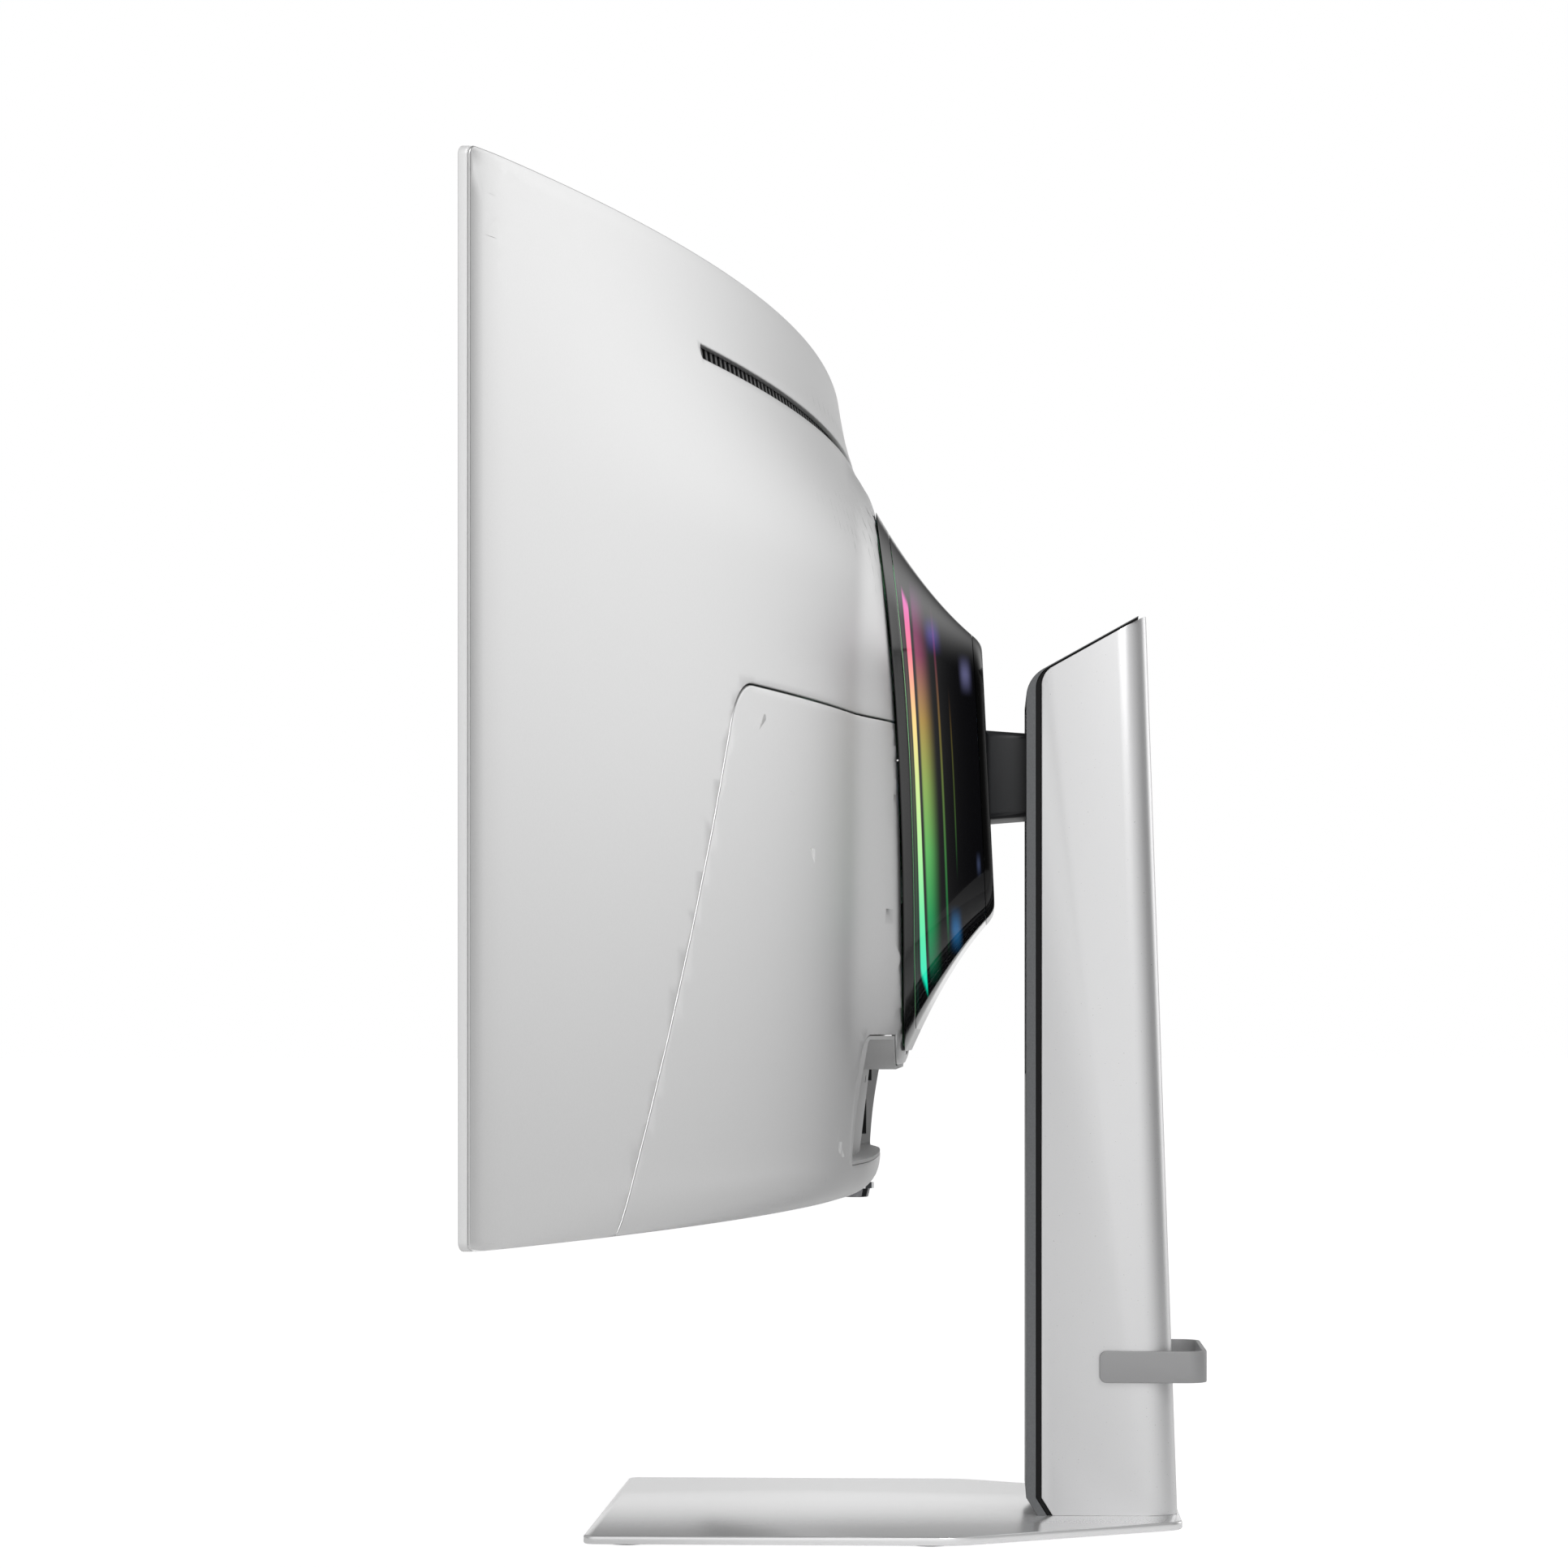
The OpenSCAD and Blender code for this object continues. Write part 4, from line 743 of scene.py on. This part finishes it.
def window(n, value, centre, half, soft):
    """1 within half of the centre, falling softly to 0 outside it."""
    beyond = n.math("SUBTRACT", n.math("ABSOLUTE", n.math("SUBTRACT", value, centre)), half)
    return n.soft_step(beyond, -soft, soft, 1.0, 0.0)


def glass_with_painted_glow():
    material = bpy.data.materials.new("lens_glass")
    material.use_nodes = True
    n = Nodes(material.node_tree)
    strips = n.add("ShaderNodeUVMap", uv_map="strips")
    share = n.add("ShaderNodeSeparateXYZ", {0: strips}).outputs[0]
    spot = n.add("ShaderNodeTexCoord").outputs["Object"]
    z = n.add("ShaderNodeSeparateXYZ", {0: spot}).outputs[2]
    far = n.math("POWER", n.math("DIVIDE", n.math("ABSOLUTE", n.math("SUBTRACT", z, 0.338)), 0.085), 2.0)
    layers = []

    def layer(colour, *masks):
        value = masks[0]
        for mask in masks[1:]:
            value = n.math("MULTIPLY", value, mask)
        layers.append(n.add("ShaderNodeVectorMath", {0: colour, "Scale": value}, operation="SCALE"))

    bright, deep = by_height(n, z, BRIGHT), by_height(n, z, DEEP)
    # The painted bright strip, and the faint painted line before it
    layer(bright, window(n, share, n.math("MULTIPLY_ADD", far, 0.022, 0.194),
          n.math("MULTIPLY_ADD", far, 0.010, 0.022), 0.006),
          window(n, n.math("MULTIPLY_ADD", share, 0.12, z), 0.354, 0.083, 0.003))
    layer(deep, window(n, share, 0.15, 0.009, 0.007), window(n, z, 0.328, 0.094, 0.006), 0.15)
    # The wide echo, a painted reflection of the bright strip, bright at its near edge and fading towards
    # the cap
    layer(deep, n.soft_step(share, n.math("MULTIPLY_ADD", far, 0.03, 0.236),
                            n.math("MULTIPLY_ADD", far, 0.03, 0.262)),
          n.soft_step(share, 0.27, 0.43, 1.0, 0.0), window(n, z, 0.332, 0.082, 0.008))
    # Two thin echoes, painted reflections of the bright strip, the second at half strength
    layer(deep, window(n, share, n.math("MULTIPLY_ADD", far, 0.02, 0.474), 0.010, 0.008),
          window(n, z, 0.335, 0.068, 0.012), 0.4)
    layer(deep, window(n, share, n.math("MULTIPLY_ADD", far, 0.01, 0.600), 0.006, 0.006),
          window(n, z, 0.332, 0.030, 0.015), 0.2)
    # Soft windows of painted violet and blue glow, standing for light deeper in the glass
    for colour, at_share, wide, at_z, high in (
            ((0.1, 0.1, 0.2), 0.80, 0.075, 0.381, 0.008), ((0.01, 0.1, 0.25), 0.575, 0.075, 0.268, 0.009),
            ((0.05, 0.03, 0.2), 0.47, 0.10, 0.397, 0.008), ((0.03, 0.04, 0.08), 0.845, 0.03, 0.297, 0.005)):
        layer(colour, window(n, share, at_share, wide * 0.6, wide * 0.5),
              window(n, z, at_z, high * 0.6, high * 0.7))
    total = layers[0]
    for other in layers[1:]:
        total = n.add("ShaderNodeVectorMath", {0: total, 1: other}, operation="ADD")
    # The glass is no lamp: all of its glow is painted light, given as emission on its surface.
    skin = n.add("ShaderNodeBsdfPrincipled", {"Base Color": (0.003, 0.003, 0.004, 1),
                 "Roughness": 0.06, "IOR": 1.22, "Emission Color": total, "Emission Strength": 1.0})
    n.add("ShaderNodeOutputMaterial", {"Surface": skin})
    return material


lens_glass = glass_with_painted_glow()
LENS_FROM, LENS_TO = 0.123, 0.9
shares = [LENS_FROM + (LENS_TO - LENS_FROM) * i / 24 for i in range(25)]
bm = draw_out([ring(f) for f in shares] + [ring(LENS_TO, 3.4), ring(0.5, 3.4), ring(LENS_FROM, 3.4)])
uv = bm.loops.layers.uv.new("strips")
per_ring = len(ring(0))
bm.verts.index_update()
for face in bm.faces:
    for loop in face.loops:
        row = loop.vert.index // per_ring
        loop[uv].uv = (shares[row], loop.vert.co.z / 1000) if row < 25 else (1.0, 0.0)
piece("light_glass", bm, "head", lens_glass, ["light_lens"])

# %% The cap on the housing's back
def back_plane(x, z):
    return Vector((x, BACK_Y - (z - BACK_Z) * tan(BACK_LEAN), z))


MOUTH_X, MOUTH_LOW, MOUTH_HIGH = 30.5, HUB_Z - 26, HUB_Z + 31
CAP_EDGE = 2.6
rounding = [(CAP_EDGE * (1 - cos(radians(a))), 1 - 0.075 * (1 - sin(radians(a))))
            for a in (0, 22, 45, 68, 90)]
bm = draw_out([ring(0.903, 4), ring(0.903, 0.5), ring(0.907)] + [ring(f, inset) for inset, f in rounding],
              closed_wall=False)
rim = [e for e in bm.edges if len(e.link_faces) == 1 and e.verts[0].co.y + e.verts[1].co.y > 2 * 171.8]
holes = [rounded(frame_corners(MOUTH_X, MOUTH_LOW, MOUTH_HIGH, 3.0))]
holes += [[(sx * 50 + 4.5 * cos(pi * i / 12), HUB_Z + sz * 50 + 4.5 * sin(pi * i / 12)) for i in range(24)]
          for sx in (-1, 1) for sz in (-1, 1)]
hole_edges = []
for loop in holes:
    verts = [bm.verts.new(back_plane(x, z)) for x, z in loop]
    hole_edges += [bm.edges.new((a, b)) for a, b in zip(verts, verts[1:] + verts[:1])]
bmesh.ops.triangle_fill(bm, use_beauty=True, edges=rim + hole_edges, normal=(0, 1, 0))
grown = bmesh.ops.extrude_edge_only(bm, edges=hole_edges)["geom"]
bmesh.ops.translate(bm, vec=(0, -3, 0), verts=[g for g in grown if isinstance(g, bmesh.types.BMVert)])
bmesh.ops.bevel(bm, geom=hole_edges, offset=0.5, segments=2, profile=0.5, affect="EDGES", material=-1)
piece("unit_cap", bm, "head", unit_black, ["hub_cover"])

# %% [markdown]
# ## The port bay and the jog knob
# Under the light unit a long tray is let into the cover. Its floor leans and bulges, and the
# sockets sit in its two ends, facing each other, so that plugs lie flat behind the screen.
# A small dark metal knob hangs under the chin.

# %% The tray
FLOOR_Y, FLOOR_R, FLOOR_LEAN = 118.5, 1500.0, tan(radians(6.6))
END_IN = BAY_X - 0.3 - 6
COLLAR_WALL_Y = 134.8


def floor_depth(x, z):
    return FLOOR_Y - x * x / 2 / FLOOR_R + (z - 190) * FLOOR_LEAN


def tray_place(x, y, w):
    spot = cover_point(x, w)
    if y > 9:
        spot.y = min(spot.y - 0.2, COLLAR_WALL_Y)
    else:
        spot.y = floor_depth(x, spot.z) - (2 if y < 1 else 0)
    return spot


def loop_of(bm, points, y):
    verts = [bm.verts.new((x, y, z)) for x, z in points]
    return [bm.edges.new((a, b)) for a, b in zip(verts, verts[1:] + verts[:1])]


def raise_walls(bm, edges, up):
    grown = bmesh.ops.extrude_edge_only(bm, edges=edges)["geom"]
    bmesh.ops.translate(bm, vec=(0, up, 0), verts=[g for g in grown if isinstance(g, bmesh.types.BMVert)])
    return [g for g in grown if isinstance(g, bmesh.types.BMEdge) and
            all(abs(v.co.y - g.verts[0].co.y) < 1e-4 for v in g.verts)]


bm = bmesh.new()
outside = loop_of(bm, bay_outline(0.32), 0)
bmesh.ops.triangle_fill(bm, use_beauty=True, edges=outside, normal=(0, 1, 0))
outside_top = raise_walls(bm, outside, 10)
inside = loop_of(bm, bay_outline(1.9, END_IN), 4)
bmesh.ops.triangle_fill(bm, use_beauty=True, edges=inside, normal=(0, 1, 0))
inside_top = raise_walls(bm, inside, 6)
bmesh.ops.triangle_fill(bm, use_beauty=True, edges=outside_top + inside_top, normal=(0, 1, 0))
slice_plate(bm, x_lines, even(BAY_LOW, BAY_HIGH, 6))
bend(bm, tray_place)
port_tray = piece("port_tray", bm, "head", bay_silver, ["port_bay"])

# %% Openings for the sockets
PORT_Z = 186.0
SIDE_PORTS = [(-1, 181.4, 17.1, 115.4), (-1, 206.4, 14.5, 118.0), (1, 206.4, 14.5, 118.0)]
tool = bmesh.new()
block(tool, (17.9, 100, 199.9), (27.1, 130, 203.3))
for x in (-60, -78):
    block(tool, (x - 6.9, 100, PORT_Z - 3.5), (x + 6.9, 130, PORT_Z + 3.5))
bar(tool, (-98, 115, PORT_Z), 5.1, 30, "y")
for side, z, length, back in SIDE_PORTS:
    block(tool, (side * 157 - 5, back - 4.5, z - length / 2 - 0.1),
          (side * 157 + 5, back + 0.1, z + length / 2 + 0.1), 0.4, 2)
bar(tool, (157, 113.6, 181.4), 2.6, 10, "x")
cut(port_tray, tool)

# %% The jog knob
bm = bmesh.new()
bar(bm, (0, JOG_Y, LOW - 0.3), 5.8, 5.2, "z", radius_2=7.0, sides=72)
edges = [e for e in bm.edges if all(v.co.z < LOW - 2.8 for v in e.verts) and not e.is_boundary]
bmesh.ops.bevel(bm, geom=edges, offset=0.5, segments=3, profile=0.5, affect="EDGES", material=-1)
piece("jog_knob", bm, "jog_button", dark_chrome, ["jog_button"])

# %% [markdown]
# ## The arm, the neck and its front
# The arm is a charcoal sleeve that tapers towards the neck. The neck is a sheet of satin
# silver bent around a U, closed at the front by a black gasket and a grainy grey trim, which
# both run up the front and over the sloping top.

# %% The arm's sleeve
bm = side_profile([(173.6, HUB_Z - 20.5), (199.7, HUB_Z - 18.5), (199.7, HUB_Z + 18.5),
                   (173.6, HUB_Z + 20.5)], 50, 3.2, 4)
piece("arm_sleeve", bm, "carriage", arm_charcoal, ["arm_cover"])

# %% The line up the neck's front and over its top
NECK_X, NECK_Y, NECK_BACK_Y, NECK_TOP = 40.0, 199.4, 261.0, 384.8
SLOPE, LEAN = tan(radians(29)), tan(radians(2))
DESK, TOP_END = 5.0, 243.0


def front_line(y, lift, end_lift, r):
    start = NECK_TOP + (y - NECK_Y) * SLOPE + lift
    end = NECK_TOP + (TOP_END - NECK_Y) * SLOPE + end_lift
    slope = atan2(end - start, TOP_END - y)
    t = r * tan((pi / 2 - slope) / 2)
    arc = [(y + r + r * cos(pi - (pi / 2 - slope) * i / 12),
            start - t + r * sin(pi - (pi / 2 - slope) * i / 12)) for i in range(13)]
    return [(y + 5, DESK), (y, DESK + 8)] + arc + [(TOP_END, end)]


def neck_outline(wall):
    """The U of the neck seen from above, with an inset of the wall; depth at the desk."""
    r = 14 - wall
    x, back = NECK_X - wall, NECK_BACK_Y - wall
    right = [(x, NECK_Y)] + [(x - r + r * cos(radians(a)), back - r + r * sin(radians(a)))
                             for a in range(0, 91, 9)]
    return right + [(-px, py) for px, py in reversed(right)]


# %% The silver neck
bm = bmesh.new()
profile = neck_outline(0) + neck_outline(2)[::-1]
face = bm.faces.new([bm.verts.new((x, y, DESK)) for x, y in profile])
grown = bmesh.ops.extrude_face_region(bm, geom=[face], use_keep_orig=True)["geom"]
high = [g for g in grown if isinstance(g, bmesh.types.BMVert)]
TALL = 430.0
for vert in high:
    vert.co.z = TALL
    if vert.co.y > 220:
        vert.co.y -= (TALL - DESK) * LEAN
neck_shell = piece("neck_shell", bm, "stand", neck_silver, ["neck_cover"])
line = front_line(NECK_Y, 0, 0, 10)
over_top = NECK_TOP + (275 - NECK_Y) * SLOPE
above = [(275, over_top), (275, 460), (150, 460), (150, -5), (NECK_Y + 5, -5)]
tool = side_profile(line[:-1] + above, 120, 0)
cut(neck_shell, tool)


def soften(obj, width, segments=2):
    """A small rounding on every sharp edge, as a modifier."""
    rounding = obj.modifiers.new("rounding", "BEVEL")
    rounding.width = width / 1000
    rounding.segments = segments
    rounding.limit_method = "ANGLE"
    rounding.angle_limit = radians(40)
    rounding.harden_normals = False


soften(neck_shell, 0.35)

# %% Gasket and trim
def closing_strip(name, outer, inner, width, look, node):
    bm = side_profile(outer + inner[::-1], width, 0)
    obj = piece(name, bm, "stand", look, [node])
    tool = bmesh.new()
    block(tool, (-28, 180, HUB_Z - 136), (28, 230, HUB_Z + 34), 3, 3)
    cut(obj, tool)
    soften(obj, 0.5, 3)


closing_strip("neck_seal", front_line(196.9, 0.7, 0.7, 11), front_line(NECK_Y, 0.1, 0.1, 10), 77.6,
              gasket_black, "neck_gasket")
closing_strip("neck_trim", front_line(192.5, 1.4, 1.3, 15), front_line(196.9, 0.8, 0.8, 11), 79.2,
              trim_grey, "neck_front_trim")

# %% [markdown]
# ## The base and the cable clip
# The base is one flat plate of pale satin metal with a rounded edge, wide at the front and
# narrower behind the neck. The clip is a bent strip with round ends that hugs the neck.

# %% The base plate
BASE_Z0, BASE_Z1 = 1.2, 5.0
plate_line = rounded([(-130, 0, 5), (130, 0, 5), (130, 163, 30), (62, 262, 12), (-62, 262, 12),
                      (-130, 163, 30)], 10)
bm = bmesh.new()
face = bm.faces.new([bm.verts.new((x, y, BASE_Z0)) for x, y in plate_line])
grown = bmesh.ops.extrude_face_region(bm, geom=[face], use_keep_orig=True)["geom"]
high = [g for g in grown if isinstance(g, bmesh.types.BMVert)]
bmesh.ops.translate(bm, vec=(0, 0, BASE_Z1 - BASE_Z0), verts=high)
rim = [e for e in bm.edges if abs(e.verts[0].co.z - e.verts[1].co.z) < 0.01]
bmesh.ops.bevel(bm, geom=rim, offset=0.9, segments=4, profile=0.5, affect="EDGES", material=-1)
piece("stand_base", bm, "stand", base_silver, ["base_plate"], sharp=50)

# %% The cable clip
CLIP_Z, CLIP_H, CLIP_Y, CLIP_BACK_Y, CLIP_T, CLIP_R = 65.0, 14.3, 225.4, 274.0, 2.0, 10.0
CLIP_X = NECK_X + 0.4 + CLIP_T
leg = CLIP_BACK_Y - CLIP_R - CLIP_Y
turn = CLIP_R * pi / 2
half = leg + turn + CLIP_X - CLIP_R


def clip_place(x, y, z):
    """Bends a straight strip around the neck: a leg, a corner, and the back."""
    s, side = abs(x), 1 if x > 0 else -1
    if s < CLIP_X - CLIP_R:
        return Vector((x, CLIP_BACK_Y + y, z))
    if s < CLIP_X - CLIP_R + turn:
        a = (s - CLIP_X + CLIP_R) / CLIP_R
        r = CLIP_R + y
        return Vector((side * (CLIP_X - CLIP_R + r * sin(a)), CLIP_BACK_Y - CLIP_R + r * cos(a), z))
    return Vector((side * (CLIP_X + y), CLIP_BACK_Y - CLIP_R - (s - CLIP_X + CLIP_R - turn), z))


bm = flat_plate(rounded(frame_corners(half, CLIP_Z, CLIP_Z + CLIP_H, 3.2)), [], CLIP_T, 0.5, 0.4)
corner_lines = [CLIP_X - CLIP_R + turn * i / 10 for i in range(11)]
slice_plate(bm, corner_lines + [-s for s in corner_lines], [])
bend(bm, clip_place)
piece("cord_clip", bm, "clip", clip_grey, ["cable_clip"])

# %% [markdown]
# ## Finishes for the measured parts
# The inner parts keep their measured shapes. Each takes the finish of its material slot.

# %% Dress the inner parts
finishes = {
    "cover_silver": cover_silver, "frame_silver": frame_silver, "screen_glass": screen_black,
    "sheet_aluminium": sheet_aluminium, "sheet_steel": sheet_steel, "screw_steel": screw_steel,
    "vent_black": vent_black, "board_green": board_green, "socket_black": socket_black,
    "speaker_black": speaker_black, "jog_chrome": chrome, "jog_black": dark_chrome,
    "unit_black": unit_black, "lens_glass": lens_glass, "light_green": None, "light_blue": None,
    "reflector_mirror": reflector_mirror, "pin_steel": pin_steel, "washer_bronze": washer_bronze,
    "arm_metal": arm_metal, "arm_charcoal": arm_charcoal, "slider_white": slider_white,
    "spring_steel": spring_steel, "neck_silver": neck_silver, "gasket_black": gasket_black,
    "trim_grey": trim_grey, "base_silver": base_silver, "pad_rubber": pad_rubber,
    "clip_grey": clip_grey,
}


def light_strip(name, colour):
    """A glowing diffuser strip behind the glass."""
    material = bpy.data.materials.new(name)
    material.use_nodes = True
    n = Nodes(material.node_tree)
    skin = n.add("ShaderNodeBsdfPrincipled", {"Base Color": (0.8, 0.8, 0.8, 1), "Roughness": 0.5,
                 "Emission Color": (*colour, 1), "Emission Strength": 1.0})
    n.add("ShaderNodeOutputMaterial", {"Surface": skin})
    return material


finishes["light_green"] = light_strip("light_green", (0.35, 1.0, 0.45))
finishes["light_blue"] = light_strip("light_blue", (0.15, 0.35, 1.0))
for part in frame["record"]["subparts"]:
    node = frame["nodes"][part["node"]]
    for slot in node.material_slots:
        slot.material = finishes[part["material_slot"]]

# %% [markdown]
# ## The room
# The monitor stands on a plain white floor in a white room. The wall on the camera's side is
# bright and evens out the neck. A soft patch of light beyond the monitor, on the side that
# its covers face, makes them pale at the screen's end and greyer toward the hub. Weaker ones
# lift the tops and the screen's front. The rest of the room is dim, so that the black glass
# stays dark. What the camera sees of the room is white, and so is the part that lies straight
# beyond the monitor where metal and glass mirror it.

# %% Floor
def white_floor():
    material = bpy.data.materials.new("floor_white")
    material.use_nodes = True
    n = Nodes(material.node_tree)
    path = n.add("ShaderNodeLightPath")
    mirrored = n.math("MAXIMUM", path.outputs["Is Glossy Ray"], path.outputs["Is Transmission Ray"])
    seen = n.math("MAXIMUM", path.outputs["Is Camera Ray"], n.math("MULTIPLY", mirrored, 0.45))
    cloth = n.add("ShaderNodeBsdfDiffuse", {"Color": (0.8, 0.8, 0.8, 1)})
    glow = n.add("ShaderNodeEmission", {"Color": (1, 1, 1, 1), "Strength": n.math("MULTIPLY", seen, 0.76)})
    both = n.add("ShaderNodeAddShader", {0: cloth, 1: glow})
    n.add("ShaderNodeOutputMaterial", {"Surface": both})
    return material


bm = bmesh.new()
bmesh.ops.create_circle(bm, cap_ends=True, segments=96, radius=40)
mesh = bpy.data.meshes.new("floor")
bm.to_mesh(mesh)
bm.free()
floor = bpy.data.objects.new("floor", mesh)
scene.collection.objects.link(floor)
mesh.materials.append(white_floor())
print("floor ready")

# %% World and lamp
world = bpy.data.worlds.new("room")
scene.world = world
world.use_nodes = True
n = Nodes(world.node_tree)
path = n.add("ShaderNodeLightPath")
way = n.add("ShaderNodeTexCoord").outputs["Generated"]
way_x = n.add("ShaderNodeSeparateXYZ", {0: way}).outputs[0]


def patch(turn, rise, power, strength):
    """A soft round patch of light: turn is counted from +X toward +Y, rise from the horizon."""
    turn, rise = radians(turn), radians(rise)
    aim = (cos(rise) * cos(turn), cos(rise) * sin(turn), sin(rise))
    facing = n.add("ShaderNodeVectorMath", {0: way, 1: aim}, operation="DOT_PRODUCT").outputs["Value"]
    return n.math("MULTIPLY", n.math("POWER", n.math("MAXIMUM", facing, 0.0), power), strength)


light = 0.08
for turn, rise, power, strength in ((0, 0, 1.5, 1.1), (137, 15, 24, 1.95), (138, -4, 24, 0.35),
                                    (90, 50, 24, 0.4), (240, 30, 3, 0.35)):
    light = n.math("ADD", patch(turn, rise, power, strength), light)
room = n.add("ShaderNodeBackground", {"Color": (1, 1, 1, 1), "Strength": light})
white = n.add("ShaderNodeBackground", {"Color": (1, 1, 1, 1), "Strength": 1.0})
away = n.soft_step(way_x, -0.99, -0.95, 1.0, 0.0)
mirror_sees = n.math("MULTIPLY", n.math("MAXIMUM", path.outputs["Is Glossy Ray"],
                     path.outputs["Is Transmission Ray"]), away)
seen = n.math("MAXIMUM", path.outputs["Is Camera Ray"], mirror_sees)
n.add("ShaderNodeOutputWorld", {"Surface": n.add("ShaderNodeMixShader", {0: seen, 1: room, 2: white})})

lamp_data = bpy.data.lights.new("high_lamp", "AREA")
lamp_data.shape = "DISK"
lamp_data.size = 0.5
lamp_data.energy = 5
high_lamp = bpy.data.objects.new("high_lamp", lamp_data)
scene.collection.objects.link(high_lamp)
high_lamp.location = (1.1, 0.35, 1.3)
high_lamp.rotation_euler = (Vector((0, 0, 0.3)) - high_lamp.location).to_track_quat("-Z", "Y").to_euler()
print("room lit")
